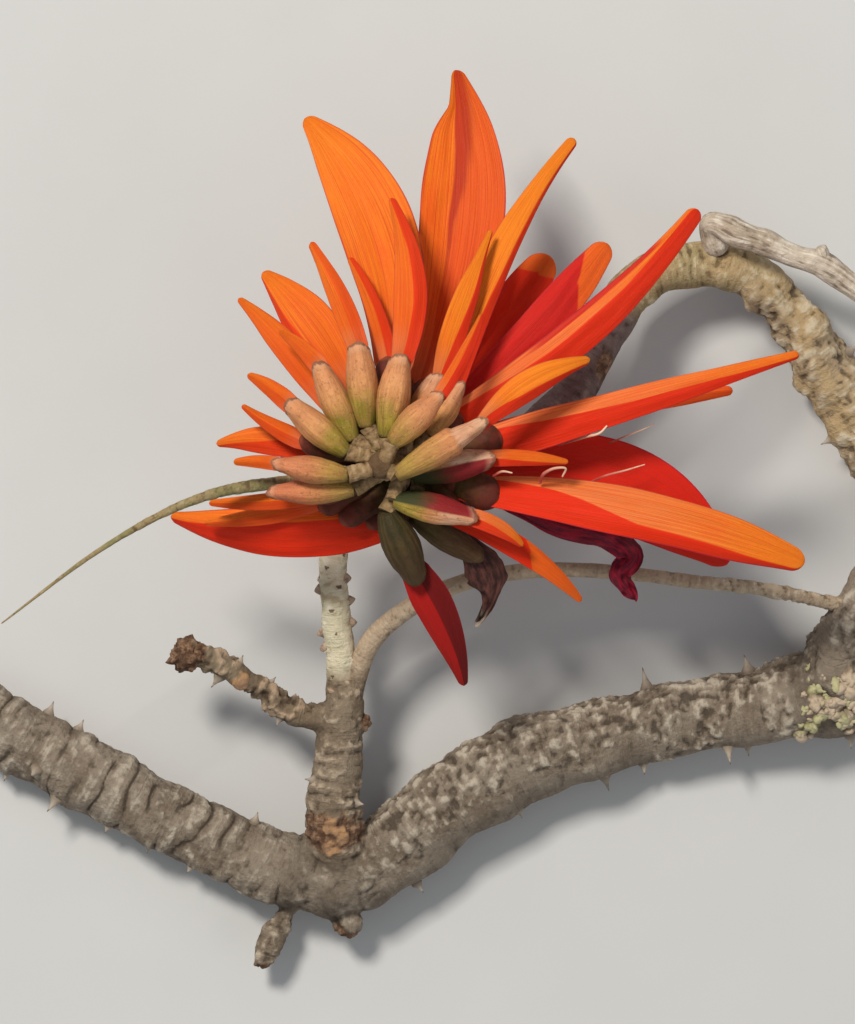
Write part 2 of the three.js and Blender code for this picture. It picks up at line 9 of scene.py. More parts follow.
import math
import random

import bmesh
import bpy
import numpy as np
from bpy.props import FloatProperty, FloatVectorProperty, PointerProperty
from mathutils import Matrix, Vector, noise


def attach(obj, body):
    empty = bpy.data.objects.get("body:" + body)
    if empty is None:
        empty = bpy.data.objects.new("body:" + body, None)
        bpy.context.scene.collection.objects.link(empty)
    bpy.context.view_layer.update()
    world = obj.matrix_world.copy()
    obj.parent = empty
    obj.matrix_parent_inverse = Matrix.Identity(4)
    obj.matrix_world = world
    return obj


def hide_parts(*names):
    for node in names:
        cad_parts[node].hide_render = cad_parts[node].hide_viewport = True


bl_info = {
    "name": "Coral Tree Branch",
    "version": (1, 0, 0),
    "blender": (4, 5, 0),
    "location": "3D View > Sidebar > Coral Branch",
    "description": "Builds a cut flowering branch of a coral tree, piece by piece",
    "category": "Add Mesh",
}

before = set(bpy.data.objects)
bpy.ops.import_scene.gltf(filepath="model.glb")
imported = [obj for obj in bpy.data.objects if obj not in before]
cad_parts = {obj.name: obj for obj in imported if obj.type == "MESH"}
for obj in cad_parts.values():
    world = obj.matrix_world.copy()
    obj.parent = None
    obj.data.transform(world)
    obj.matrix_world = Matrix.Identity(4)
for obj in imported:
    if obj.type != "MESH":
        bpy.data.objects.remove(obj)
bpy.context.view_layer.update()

MM = 0.001
BODY = "root"

# From the plan's origin to the frame's origin, in millimetres.
PLAN_SHIFT = np.array((-1.294, 2.787, 0.203))

# Limbs: a route of points, the radius at even spacing along it, and thorns as share of
# the length, degrees round from the top to the left, and height.
LIMBS = {
    "limb_right": dict(
        route=((-22, -75.5, 9), (-10.5, -71, 8.8), (4.5, -59, 8.8), (20.5, -50, 8.8), (37, -45, 8),
               (55, -41, 8), (68, -39, 8.6), (82, -36, 10), (96, -33.5, 10)),
        girth=(7.6, 8.2, 8.4, 8.6, 8.3, 7.4, 7.2, 7.6, 9.5, 10.5),
        thorns=((0.13, -90, 2.2), (0.34, -85, 1.6), (0.5, -92, 3.2), (0.57, -90, 2.2), (0.71, -70, 4.2),
                (0.74, -95, 2.4), (0.9, -90, 2.8), (0.6, 90, 4.4), (0.76, 85, 3.2))),
    "limb_left": dict(
        route=((-96.5, -36.5, 7.6), (-86, -43.5, 7), (-64.5, -55.5, 8.2), (-44, -66, 7.5),
               (-31, -71.5, 8), (-17, -75, 8.8)),
        girth=(6.8, 7.1, 7.4, 7, 6.8, 7.4, 7.8),
        thorns=((0.265, -30, 3.6), (0.33, -72, 3.4), (0.22, 90, 2.6), (0.3, 88, 2.2), (0.2, -95, 2.2),
                (0.67, -85, 1.6), (0.76, 80, 2), (0.46, -92, 1.6), (0.56, -90, 1.5))),
    "spur": dict(
        route=((-17, -71, 9), (-18.5, -65, 14), (-19, -58.5, 15.5), (-18, -50.5, 16.5),
               (-17.5, -39, 17.5)),
        girth=(6.4, 6.2, 5.6, 5, 4.7, 4),
        thorns=((0.55, 60, 2), (0.45, -60, 2))),
    "stub_twig": dict(
        route=((-18.5, -42, 17.5), (-27.5, -40, 18), (-33, -36, 19), (-38.5, -32.5, 20.5),
               (-43, -30, 21.5), (-50, -28.3, 22.5)),
        girth=(3, 2.9, 2.4, 2.2, 2.1, 2.4, 2.5, 2.3),
        thorns=((0.66, -70, 2), (0.3, 95, 1.8), (0.72, 90, 2.6), (0.45, -90, 1.6))),
    "collar": dict(
        route=((-18, -46, 16.5), (-17.2, -41, 18), (-16.5, -37, 18.8), (-16, -33.5, 19.4)),
        girth=(4.6, 4.5, 3.9, 2.5)),
    "fork": dict(
        route=((82, -35, 12), (86, -26, 14.5), (90, -18, 16), (95, -9.5, 16)),
        girth=(8.6, 8.2, 7, 6.4)),
    "lower_stub": dict(
        route=((-25.5, -76, 7.5), (-29, -82, 7.2), (-31.5, -86.5, 7.6), (-33.5, -92, 8)),
        girth=(2.8, 2.1, 1.8, 2.7, 2.6, 1.6)),
    "pale_stem": dict(
        route=((-17.5, -44, 17), (-17.5, -29.5, 19.5), (-18.5, -19.5, 21.5), (-19, -10.5, 24),
               (-16.5, 0, 26.5), (-7, 9, 29), (7, 12.5, 31)),
        girth=(3.2, 2.9, 2.9, 2.8, 2.7, 2.6, 2.6),
        thorns=((0.24, 85, 1.2), (0.28, 100, 1.5), (0.3, -85, 1.2), (0.36, -80, 1.4), (0.4, 85, 1),
                (0.43, -75, 1.1))),
    "arch_twig": dict(
        route=((-17, -43, 17), (-14.5, -33.5, 19), (-11, -25.5, 21.5), (-2.5, -18.5, 24), (7.5, -14, 26),
               (18, -12, 27), (29.5, -11.6, 27), (42.5, -12.6, 26.5), (54.5, -14.1, 25.5),
               (68, -15.6, 22), (86, -19.5, 18)),
        girth=(2.9, 2.2, 2, 1.8, 1.6, 1.5, 1.4, 1.35, 1.3, 1.4, 1.3)),
    "far_limb": dict(
        route=((97.5, 1.5, 7.2), (90, 13, 7.5), (84, 23.5, 9), (77, 34, 11), (70, 43, 13),
               (64.4, 48, 14.1), (58, 50, 15), (51, 49.5, 16), (44.5, 47.5, 17), (40, 43.5, 17.9),
               (37, 38, 19), (32.5, 30, 21), (27.5, 21.5, 23.5), (18.5, 14.5, 27.5), (4, 12.3, 31.5)),
        girth=(6.4, 6.6, 6.4, 6.2, 5.5, 4.7, 4.7, 4.6, 4.5, 4.3, 4.3, 4.2, 4.1, 3.9, 3.4),
        thorns=((0.14, 80, 2.6), (0.09, -80, 2.8), (0.24, -80, 2.4))),
    "broken_twig": dict(
        route=((58.5, 52, 17), (57, 58, 21.5), (62, 56, 23), (67, 54.4, 23.5), (74, 51.4, 24),
               (80, 49.2, 24), (86, 45.2, 24), (93.5, 40.5, 24)),
        girth=(2.6, 2.8, 2.6, 2.4, 2.5, 2.5, 2.4)),
    "tail": dict(
        route=((-9, 9, 53.5), (-19.5, 6.8, 55), (-28.5, 5.8, 57.5), (-40, 4.2, 60.5), (-50.5, 0.4, 62),
               (-65, -7.8, 61.5), (-84, -22, 60)),
        girth=(1.6, 1.4, 1.2, 0.85, 0.55, 0.35, 0.15)),
    "stalk": dict(
        route=((8.5, 12.5, 29), (4, 12, 40), (-3, 10.5, 54), (-10.3, 8.8, 67.5)),
        girth=(4, 3.6, 3.4, 3.2, 2.6)),
}

# Buds and knobs fused to the limbs: place and radius.
BUDS = (((-16, -83, 8.6), 2.9), ((-12.6, -42.6, 17.6), 1.7), ((-48, -28.8, 22.4), 3.4))

# Where the far limb turns from grey to tan and from tan to dark, as shares of its length.
FAR_TURNS = (0.43, 0.63)

# The bloom is set out in polar form about the tip of its stalk: a clock angle in degrees, a
# reach from the tip and a height above the surface.
BLOOM_TIP = (-10.3, 8.8)

# Calyces of the front ring, from the stalk to the mouth, with their full width. A look is how
# green, crimson and dark the calyx is, and how pale its neck. The neck turns pale from the first share
# of bare and over the second; on calyces 9 and 12 this pale is painted light on their lit side. A lip
# is the share at which a torn outer skin ends. Shade tells the dark side, which is painted shade: 1 is
# the left and -1 the right, and then how far it reaches past the top.
CALYXES = {
    1: dict(base=(101, 8.2, 64), mouth=(98, 24.2, 67), width=6.4),
    2: dict(base=(70, 6.4, 65), mouth=(77, 22.2, 67.5), width=6.6),
    3: dict(base=(129, 7, 63), mouth=(119, 23, 65.5), width=6, neck=0.64),
    4: dict(base=(153, 6.3, 64), mouth=(143.5, 21, 66), width=6, neck=0.66),
    5: dict(base=(54, 5.8, 67.5), mouth=(48, 19, 70), width=6, neck=0.54, look=(0.7, 0.1, 0)),
    6: dict(base=(46, 9, 60), mouth=(54.5, 21.6, 61), width=5.4, neck=0.8, look=(0.3, 0, 0, 0.5)),
    7: dict(base=(30, 12.4, 59), mouth=(44, 23.4, 59.5), width=5, neck=0.6, look=(0.2, 0, 0, 0.3)),
    8: dict(base=(-20, 4.4, 66.5), mouth=(22.6, 23.2, 68.6), width=5.8, neck=0.6,
            look=(0.7, 0.1, 0, 0.65), bare=(0.66, 0.05), lip=0.66),
    9: dict(base=(-12, 7.5, 59), mouth=(4.4, 23, 61), width=6.2, neck=0.66, look=(0.3, 0.1, 0, 0.9),
            bare=(0.3, 0.35), shade=(-1, 0.05)),
    10: dict(base=(196, 5.6, 66), mouth=(178, 19.6, 67), width=5.4, neck=0.56, look=(0.6, 0.3, 0)),
    11: dict(base=(226, 6, 62), mouth=(193.5, 21, 62), width=5.4, neck=0.56, look=(0.7, 0.4, 0)),
    12: dict(base=(-60, 7.4, 60), mouth=(-27, 21.8, 61), width=6.2, neck=0.6, look=(1, 0.2, 0, 0.6),
             bare=(0.45, 0.35), shade=(1, 0.1)),
    13: dict(base=(-76, 9, 57), mouth=(-70, 23, 51), width=7.4, look=(1, 0, 0.95)),
    14: dict(base=(-52, 12, 52), mouth=(-41, 26.4, 47), width=6, look=(0.8, 0.2, 0.9)),
}

# Petals: mouth and tip, widths at even steps from the mouth to where the tip rounds off, bow to
# the left and arch upwards at mid length, fold of the two halves (below 0 the keel faces up) and
# roll of the face to the left in degrees. Then the crease across the petal at even steps from
# claw to tip (1 is the left edge), and how red the petal is left and right of it: partly its own
# red, and partly painted shade on the half of the fold turned from the light. Deep is how crimson
# it is, partly its own crimson and partly painted shade. Past a strip's place towards the left edge
# the far half shows, painted deep crimson as its shade. Lit is the share of the length from which a
# red petal turns orange, and how much sooner it does so at the left edge. Gold is how golden the
# orange is, and salmon how pale it is near the mouth. The painted shade is how dark the petal is
# painted as shade left and right of the crease, and the fold's shadow is a dark red band painted
# right of the crease, as strong as given. A notch cuts the left half's tip back: from where, up to
# where and by how much. Ragged is how crumpled a withered petal is, and dried how brown. One with a
# via runs through its points. A sleeve is the end of the dark calyx round the foot of a petal.
# Fold, crease, deep and gold are left out where they are plain.
PETALS = {
    1: dict(mouth=(62, 20, 50), tip=(78.7, 80.6, 42), widths=(8, 11.4, 15.8, 16.8, 12.2, 2.6),
            bow=-4.4, arch=3, fold=0.3, crease=(0.1, 0.3, 0.3, 0.25, 0.35), red=(0.1, 0.4), stripe=0.65,
            gloom=(0, 0.12), notch=(0.78, 0.885, 0.45)),
    2: dict(mouth=(80, 21, 56), tip=(101.4, 70.6, 50), widths=(8, 12, 15, 14.6, 10.6, 2.4),
            bow=-6, arch=3, fold=0.2, crease=(0, 0.1, 0.2), red=(0.1, 0.1), gold=0.5),
    3: dict(mouth=(76, 22.4, 67.5), tip=(86.6, 53, 64), widths=(4.6, 6.2, 6.6, 5.4, 3.4, 1.4),
            bow=-2.6, arch=2, fold=-0.42, crease=(0, -0.2, -0.1, 0.4), red=(0.2, 0.75)),
    4: dict(mouth=(46, 22, 57), tip=(58.8, 76, 53), widths=(4.4, 6.2, 6.4, 5.4, 3.6, 2.2),
            bow=3.2, arch=2, fold=-0.42, crease=(-0.2, -0.65, -0.7), red=(0, 0.85), gold=0.9),
    5: dict(mouth=(54.5, 22.2, 61), tip=(64, 52, 60), widths=(3.4, 5, 5.2, 4.4, 2.4, 1),
            bow=0.4, arch=1, crease=(0, -0.5, -0.7), red=(0, 0.85), gold=0.8),
    6: dict(mouth=(32, 20, 57), tip=(38.6, 81.6, 55), widths=(5, 7, 7.8, 7.2, 5.2, 3.2),
            bow=-3.4, arch=2, fold=-0.4, roll=-6, crease=(0.5, 0.25, 0.3, 0.7), red=(0.1, 0.9),
            strip=0.72, salmon=0.7),
    7: dict(mouth=(40, 18, 44), tip=(50.5, 54.6, 40), widths=(4, 7, 8, 8.2, 8, 5.6),
            bow=0.6, arch=1, fold=-0.3, red=(1, 1), lit=(0.885, 0.045), gold=-0.4),
    8: dict(mouth=(36, 19, 49), tip=(44, 64, 46), widths=(4, 6.6, 7.6, 8, 7.2, 4.2),
            bow=-1.2, arch=1, fold=-0.3, crease=(0.3, 0.3, 0.6), red=(1, 0.9), deep=0.9,
            lit=(0.79, -0.11), gold=-0.4),
    9: dict(mouth=(23.4, 23.8, 68), tip=(26.6, 47.2, 66), widths=(3.4, 5.2, 6, 5.4, 3.6, 1.5),
            bow=1.6, arch=2, fold=-0.42, roll=-10, crease=(0.2, -0.25, -0.4, -0.6), red=(0, 0.9),
            gold=0.8),
    10: dict(mouth=(10, 18, 55), tip=(15, 86.4, 60), widths=(6.4, 7.8, 6.8, 5.6, 3.6, 1.7),
             bow=0, arch=1, roll=6, crease=(0.95, 0.35, 0.05, -0.1, -0.6), red=(0.05, 1),
             salmon=0.8, sleeve=(13.3, 26, 55.5)),
    11: dict(mouth=(16, 20, 48), tip=(12.2, 72.4, 49), widths=(4, 4.6, 4.4, 4.2, 3.8, 1.8),
             bow=1.2, arch=0, fold=-0.4, red=(0.3, 0.4), gold=-0.3),
    12: dict(mouth=(-14, 18, 54), tip=(-12.5, 87, 51), widths=(5, 8.4, 10.4, 10.2, 9, 4.2),
             bow=2.8, arch=3, roll=20, crease=(0.95, 0.3, -0.55, -0.66, -0.9), red=(0.05, 0.95),
             gold=0.45, salmon=1, sleeve=(-15.5, 25.5, 54)),
    13: dict(mouth=(-2, 17, 44), tip=(-15.4, 72.6, 38), widths=(5, 12, 16.6, 17.4, 13.4, 3.8),
             bow=7.4, arch=3, fold=-0.2, roll=-10, red=(1, 1), deep=0.6),
    14: dict(mouth=(4.4, 23, 61), tip=(1.5, 38, 61), widths=(3.4, 3.4, 3.2, 2.8, 2, 1.1),
             bow=0.4, arch=0.5, crease=(0, -0.4, -0.6), red=(0, 0.8)),
    15: dict(mouth=(-32, 18, 54), tip=(-33, 48.6, 48), widths=(4, 4.8, 5, 4.4, 3, 1.2),
             bow=2, arch=2, roll=15, red=(0.95, 1), lit=(0.55, 0.08), gold=0),
    16: dict(mouth=(-27, 22, 61), tip=(-28, 33, 59), widths=(3.8, 3.9, 3.7, 3.2, 2.3, 1.2),
             bow=0.8, arch=0.5, roll=15, crease=(0, -0.3, -0.5), red=(0, 0.8), gold=0.5,
             salmon=0.6),
    17: dict(mouth=(-69, 22, 50), tip=(-68, 46.8, 38), widths=(6, 7.8, 7.4, 6, 4, 1.6),
             bow=0.9, arch=2, fold=-0.4, roll=-10, crease=(0, 0.1, 0.2), red=(1, 1), deep=1,
             gloom=(0.85, 0.35)),
    18: dict(mouth=(-41, 26, 46.6), tip=(-56, 36.6, 38), widths=(5.6, 8.4, 8, 3.6, 2.2, 1.2),
             bow=2.6, arch=1, fold=-0.4, ragged=1, dried=1),
    19: dict(mouth=(-14, 25, 40), tip=(-27, 57.8, 33), widths=(3, 5, 5.6, 5, 4.6, 2.2),
             via=((26, -2.5, 39.5), (36, -5, 38.5), (40.6, -8.8, 37), (38.4, -12.4, 35.4)),
             fold=-0.42, ragged=1.2),
    20: dict(mouth=(-68, 11.4, 47), tip=(193.4, 42, 38), widths=(6.6, 10.4, 11.4, 10.4, 7, 2),
             bow=3, arch=4, roll=25, crease=(-0.5, -0.55, -0.5, 0), red=(0.95, 0.1)),
    21: dict(mouth=(165, 14, 54), tip=(171.6, 31.8, 50), widths=(4, 5.6, 5.8, 5, 3.2, 1.2),
             bow=-1.4, arch=1, roll=-10, crease=(-0.4, 0.2, 0.5), red=(0.7, 0)),
    22: dict(mouth=(178, 19.4, 67), tip=(178, 27.8, 66), widths=(2.8, 2.8, 2.6, 2.3, 1.8, 1.2),
             bow=-0.3, arch=0, fold=-0.3, red=(0.3, 0.1)),
    23: dict(mouth=(160, 16, 59.5), tip=(155, 29, 58), widths=(3.8, 3.8, 3.3, 2.6, 1.8, 1),
             bow=0.4, arch=0.4, fold=-0.4, red=(0.5, 0.2)),
    24: dict(mouth=(143.5, 20.8, 66), tip=(144, 31, 65), widths=(3.9, 3.9, 3.5, 3, 2.2, 1.2),
             bow=-0.4, arch=0.4, red=(0.4, 0)),
    25: dict(mouth=(127, 17, 58), tip=(129, 43, 54), widths=(3.6, 5.2, 5.6, 5, 3.2, 1.2),
             bow=-1, arch=1, red=(0.3, 0.1)),
    26: dict(mouth=(108, 16.6, 51), tip=(120, 44.8, 45), widths=(5, 8, 10, 9.4, 6.2, 1.8),
             bow=-1.4, arch=1.5, fold=-0.25, crease=(0.4, 0.6, 0.8), red=(0.7, 0.05), gold=0.4),
    27: dict(mouth=(98, 23.8, 67), tip=(106, 46, 63), widths=(4.2, 4.6, 4.5, 3.8, 2.6, 1.5),
             bow=-0.6, arch=1, fold=-0.42, crease=(0, 0, 0.2), red=(0.1, 0.45)),
    28: dict(mouth=(84, 22, 61.5), tip=(97, 41.6, 59), widths=(3.6, 3.8, 3.6, 3.2, 2.4, 1.3),
             bow=-1, arch=0.5, crease=(0, 0, 0.2), red=(0.1, 0.7)),
    29: dict(mouth=(119, 22.8, 65.5), tip=(125, 32.8, 64), widths=(3.8, 3.7, 3.3, 2.8, 2, 1.1),
             bow=-0.4, arch=0.4, fold=-0.4, red=(0.3, 0.1)),
    30: dict(mouth=(48, 18.8, 70), tip=(55, 36.6, 69), widths=(2.9, 3, 2.9, 2.6, 1.9, 1),
             bow=-0.6, arch=0.4, fold=-0.42, crease=(0, 0.1, 0.2), red=(0, 0.85)),
    31: dict(mouth=(205, 14, 55.5), tip=(192, 33.6, 53), widths=(3.4, 3.6, 3.5, 3, 2.2, 1.2),
             bow=0.4, arch=1, fold=-0.4, red=(0.5, 0.1)),
    32: dict(mouth=(212, 13, 52), tip=(198, 35.6, 47), widths=(3.4, 4, 4, 3.4, 2.4, 1.2),
             bow=0.6, arch=1, fold=-0.4, red=(0.5, 0.1)),
}
CRIMSON_PETALS = (7, 8, 11, 13, 15, 17, 20)
WILTED_PETALS = (18, 19)

# Petals whose calyx is one of the front ring. The others come out of a hidden one.
FRONT_FED = (3, 5, 9, 14, 16, 17, 18, 22, 24, 27, 29, 30)

# How a spline and a course are stepped: points to a stretch of the spline, the slope past which
# a line counts as upright, points measured at a time, the angle that makes an edge sharp, and the
# rows and columns of a round lump. Then the points round each kind of skin, and the stations along
# a thorn and along a calyx, out to its mouth and back in.
SPLINE_STEPS = 16
STEEP = 0.9
CHUNK = 8000
SHARP = math.radians(75)
BALL_ROWS = 18
BALL_COLUMNS = 24
COLUMNS = {"plain": 28, "pale_stem": 72, "arch_twig": 36, "far_limb": 84, "broken_twig": 60, "knot": 24,
           "stalk": 56, "shoot": 26, "tail": 20, "filament": 10, "thorn": 14, "calyx": 44}
THORN_STATIONS = 12
CALYX_STATIONS = (46, 16)

# Bark of each limb: size and height of its lumps, pitch and height of the folds across it, size
# and height of its warts, how far they keep to the left side, the wander of the folds, and the
# stretch of its wrinkles.
BARKS = {
    "limb_right": dict(lumps=(9, 1.3), folds=(9, 0.25), warts=(2.6, 0.9), lean=0.08),
    "limb_left": dict(lumps=(7, 1.1), folds=(5.2, 0.7), warts=(2, 0.35), wander=0.6),
    "spur": dict(lumps=(5, 0.3), folds=(2.8, 0.55), warts=(1.8, 0.35), wander=0.35),
    "stub_twig": dict(lumps=(4, 0.7), folds=(5, 0.1), warts=(2.8, 1.5)),
    "collar": dict(lumps=(3, 0.3), folds=(2.6, 0.25), warts=(1.5, 0.5)),
    "fork": dict(lumps=(7, 1.6), folds=(6, 0.3), warts=(2.8, 1)),
    "lower_stub": dict(lumps=(4, 0.5), folds=(2.4, 0.3), warts=(2, 0.6)),
    "pale_stem": dict(lumps=(4, 0.35), folds=(4.4, 0.05), warts=(2.6, 0.16)),
    "arch_twig": dict(lumps=(6, 0.12), folds=(3.4, 0.03), warts=(1.3, 0.05)),
    "scarred_twig": dict(lumps=(4, 0.3), folds=(2.8, 0.3), warts=(1.6, 0.45)),
    "upper_limb": dict(lumps=(6, 2), folds=(6, 0.25), warts=(2.8, 0.9)),
    "crook": dict(lumps=(7, 0.9), folds=(2.6, 0.12), warts=(2.4, 0.2)),
    "dark_stem": dict(lumps=(7, 0.6), folds=(5, 0.05), warts=(1.6, 0.08)),
    "broken_twig": dict(lumps=(6, 0.9), folds=(9, 0.03), warts=(3, 0.08), grain=(0.4, 5, 5)),
    "tail": dict(lumps=(3, 0.15), folds=(2.6, 0.1), warts=(0.8, 0.12)),
    "stalk": dict(lumps=(3, 0.4), folds=(2, 0.2), warts=(1.4, 0.6)),
    "shoot": dict(lumps=(2.6, 0.15), folds=(2.2, 0.08), warts=(1, 0.14)),
}

# The limbs that are grown together, and how brown the bark of some of them is.
GREY_LIMBS = ("limb_right", "limb_left", "spur", "stub_twig", "collar", "fork", "lower_stub")
BROWN_LIMBS = (("stub_twig", 1), ("spur", 0.6), ("collar", 0.7), ("lower_stub", 0.3))

# The folds' wander along a limb as a share of their pitch, the height of a fold whose crease takes
# the full painted shade, the stretch and height of the wrinkles across it, the stretch of the warts,
# how crusty and how round they are, the radius from which a limb carries its full relief, how far one
# limb's bark runs on into the next, the least weight that counts there, and how far up a stem its
# brown foot reaches.
FOLD_WANDER = 0.8
DEEP_FOLD = 0.85
WRINKLE_STRETCH = (4, 1, 1)
WRINKLE_HEIGHT = 0.14
WART_STRETCH = (1.3, 1, 1)
CRUSTINESS = 0.55
ROUNDNESS = 0.5
FULL_RELIEF = 1.2
LIMB_BLEND = 0.9
FAINT = 0.02
FOOT_SPAN = (9.5, 14.5)

# Colours of each kind of bark: its skin, its patches, the painted shade of its creases and hollows,
# and its crests, pale partly as crust and partly as painted highlight.
BARK_COLOURS = {
    "grey": ((0.24, 0.195, 0.15), (0.17, 0.13, 0.095), (0.045, 0.032, 0.022), (0.5, 0.44, 0.355)),
    "upper": ((0.37, 0.275, 0.175), (0.42, 0.3, 0.16), (0.045, 0.03, 0.018), (0.6, 0.52, 0.39)),
    "tan": ((0.42, 0.3, 0.16), (0.34, 0.27, 0.14), (0.08, 0.045, 0.02), (0.66, 0.56, 0.38)),
    "dark": ((0.16, 0.11, 0.1), (0.21, 0.15, 0.14), (0.05, 0.03, 0.025), (0.27, 0.2, 0.18)),
    "stub": ((0.215, 0.165, 0.11), (0.16, 0.115, 0.075), (0.045, 0.028, 0.018), (0.48, 0.35, 0.24)),
    "cream": ((0.68, 0.6, 0.45), (0.58, 0.53, 0.37), (0.36, 0.27, 0.16), (0.8, 0.75, 0.63)),
    "twig": ((0.48, 0.375, 0.265), (0.39, 0.29, 0.2), (0.13, 0.09, 0.06), (0.64, 0.54, 0.41)),
    "weathered": ((0.54, 0.46, 0.375), (0.4, 0.32, 0.245), (0.14, 0.1, 0.07), (0.76, 0.69, 0.59)),
    "stalk": ((0.3, 0.19, 0.095), (0.2, 0.13, 0.055), (0.03, 0.017, 0.01), (0.48, 0.33, 0.19)),
    "tail": ((0.3, 0.22, 0.11), (0.22, 0.2, 0.08), (0.09, 0.05, 0.025), (0.42, 0.33, 0.2)),
}

# Open ends that are sawn flat: the limb, and whether the cut is at its far end. Then how far in from
# the cut its colour starts and is full, how far out from the pith it may lie as a share of the
# radius, and the rings of squares in the face of a cut.
SAWN_ENDS = (("limb_left", False), ("limb_right", True), ("fork", True))
CUT_DEPTHS = (-0.45, -0.15)
CUT_REACH = 1.3
FACE_RINGS = 10

# Torn and withered brown places on the limbs with their half sizes: round the foot of the spur, the
# end of the rough twig, the buds and the end of the lower stub, and on the dark stem. Then the pale
# knobs of torn bark and their radius.
WOUNDS = (
    ((-19.4, -64.2, 17), (7.4, 4.9, 7)), ((-49, -28.4, 22.4), (5, 5, 5)),
    ((-12, -42, 17.6), (2.6, 2.6, 2.6)), ((-16.6, -84.6, 8.6), (3, 2, 3)),
    ((-33.6, -92.4, 8), (2.6, 1.6, 2.6)),
)
DARK_STEM_WOUNDS = (((36, 28.4, 24), (2.6, 4, 4)),)
KNOBS = ((-19.6, -63.4, 20.4), (-19.2, -67.6, 19.2), (-17.4, -65.2, 20), (-37.6, -34, 22.2))
KNOB_SIZE = 1.9

# The heights of torn bark and of the crust on a bud, and how far that crust reaches as a share of the
# bud's radius.
TORN_HEIGHT = 0.8
BUD_HEIGHT = 0.4
BUD_REACH = 1.4

# The knot on the broken twig: its route and its radii.
TWIG_KNOT = ((79, 50, 24.5), (79.2, 51.8, 25.2), (78.4, 53.2, 25.8))
KNOT_GIRTH = (1.7, 1.2, 1, 1.1)

# Leaf scars: share of the limb's length, degrees round it and size.
SPUR_SCARS = ((0.66, 5, 1.6), (0.8, -45, 1.1), (0.55, -60, 1), (0.47, -30, 1.1), (0.93, 20, 1.2),
              (0.74, 55, 1))
STEM_SCARS = ((0.463, 25, 0.5), (0.43, 80, 0.7), (0.41, -23, 0.55), (0.345, 15, 0.55), (0.275, 6, 0.35),
              (0.23, 75, 0.6), (0.15, 37, 0.5), (0.36, -75, 0.6), (0.2, -60, 0.45), (0.5, -50, 0.5))

# Colours of torn bark, of scars, whose pale rims are partly painted highlight, and of sawn wood:
# its two kinds of rings and its pith.
WOUND_BROWN = (0.35, 0.21, 0.125)
WOUND_DARK = (0.085, 0.04, 0.022)
SCAR_CREAM_AND_HIGHLIGHT = (0.55, 0.46, 0.35)
SCAR_BROWN = (0.1, 0.055, 0.028)
KNOB_ORANGE = (0.44, 0.25, 0.12)
CUT_WOOD = ((0.5, 0.4, 0.25), (0.62, 0.52, 0.36), (0.2, 0.12, 0.06))

# Thorns: how deep their roots are sunk, the seed of their lean, the limbs whose thorns are blunt, how
# fast a sharp one and a blunt one taper, and a blunt one's foot as a share of the full radius.
THORN_SUNK = 1.2
THORN_SEED = 7
BLUNT_THORNS = ("pale_stem",)
THORN_TAPER = 1.9
BLUNT_TAPER = 0.75
BLUNT_FOOT = 0.8

# Shoots of the stalk: pedicels of the front ring and hidden calyces behind it, with their radii
# from the stalk outwards. A shoot to a point at the height SHOOT_LOW leaves the stalk's foot,
# and one to a point SHOOT_RISE above that leaves its tip, within SHOOT_SPAN.
SHOOT_LOW = 34
SHOOT_RISE = 36
SHOOT_SPAN = (0.1, 0.95)
PEDICEL_GIRTH = (1.9, 1.7, 1.5, 1.7)
HIDDEN_GIRTH = (1, 1.2, 1.9, 2.7, 2.9, 2.1)
SPENT_GIRTH = (1, 1.3, 2, 2.7, 2.9, 2.7, 2.2)
SLEEVE_GIRTH = (1, 1.4, 2.4, 3.1, 3.5, 3.6, 3.5, 3.3)

# Mouths of the spent calyces low on the stalk, which have lost their petals.
SPENT_CALYXES = ((238, 13, 52), (262, 12, 48), (288, 13, 46), (318, 15, 47), (216, 14, 52),
                 (340, 16, 50), (-24, 20, 47))

# A calyx: its radius along its length as shares of half its width, and its upward bow. A neck is
# the radius at the mouth, and the hood is how far the lip reaches over the petal.
CALYX_FORM = ((0, 0.5), (0.05, 0.58), (0.2, 0.8), (0.4, 0.98), (0.55, 1), (0.75, 0.94),
              (0.9, 0.85), (1, 0.8))
CALYX_BOW = 0.35
PLAIN_NECK = 0.7
HOOD = 2

# A petal: the length of its claw inside the calyx, the share of length that the fold takes to
# leave the flat claw, the plain fold, the blade's stations and how they crowd to the tip, the points
# across each face, the heights of its edge's wave, of its veins and of its broad flutes, the width
# of the fold's painted shadow, and how uneven its outline is. A withered petal's rumples have a size
# and a height.
CLAW_LENGTH = 3
FOLD_START = 0.33
PLAIN_FOLD = -0.38
PETAL_STATIONS = 60
TIP_CLOSENESS = 1.5
PETAL_COLUMNS = 23
EDGE_WAVE = 0.15
VEIN_HEIGHT = 0.04
FLUTE_HEIGHT = 0.16
FOLD_SHADOW_WIDTH = 1.5
EDGE_NICKS = 0.015
RUMPLE_SIZE = 2.6
RUMPLE_HEIGHT = 1.7

# Threads of the stamens: a route and a radius.
FILAMENTS = (
    (((26, 13.4, 50), (31, 14.8, 56), (34, 15.6, 58), (35.4, 17, 58)), 0.36),
    (((36, 13.6, 46), (39, 14.9, 52), (42, 16.1, 54), (45, 17.4, 54)), 0.18),
    (((32.4, 6, 50), (35.2, 7.2, 53), (39, 8.2, 51.6), (43, 9.4, 50)), 0.22),
    (((22.2, 5.8, 56.5), (23, 7.6, 59.6), (25, 8.6, 60.4), (27.2, 8.6, 60), (26.6, 7, 58.6)), 0.34),
    (((13, 7.2, 59), (14.8, 8, 60.6), (16.7, 7.7, 60.6)), 0.28),
)

# Colours of a petal's golden streaks and of its pale claw.
PETAL_GOLD = (0.78, 0.21, 0.01)
PETAL_SALMON = (0.74, 0.2, 0.07)
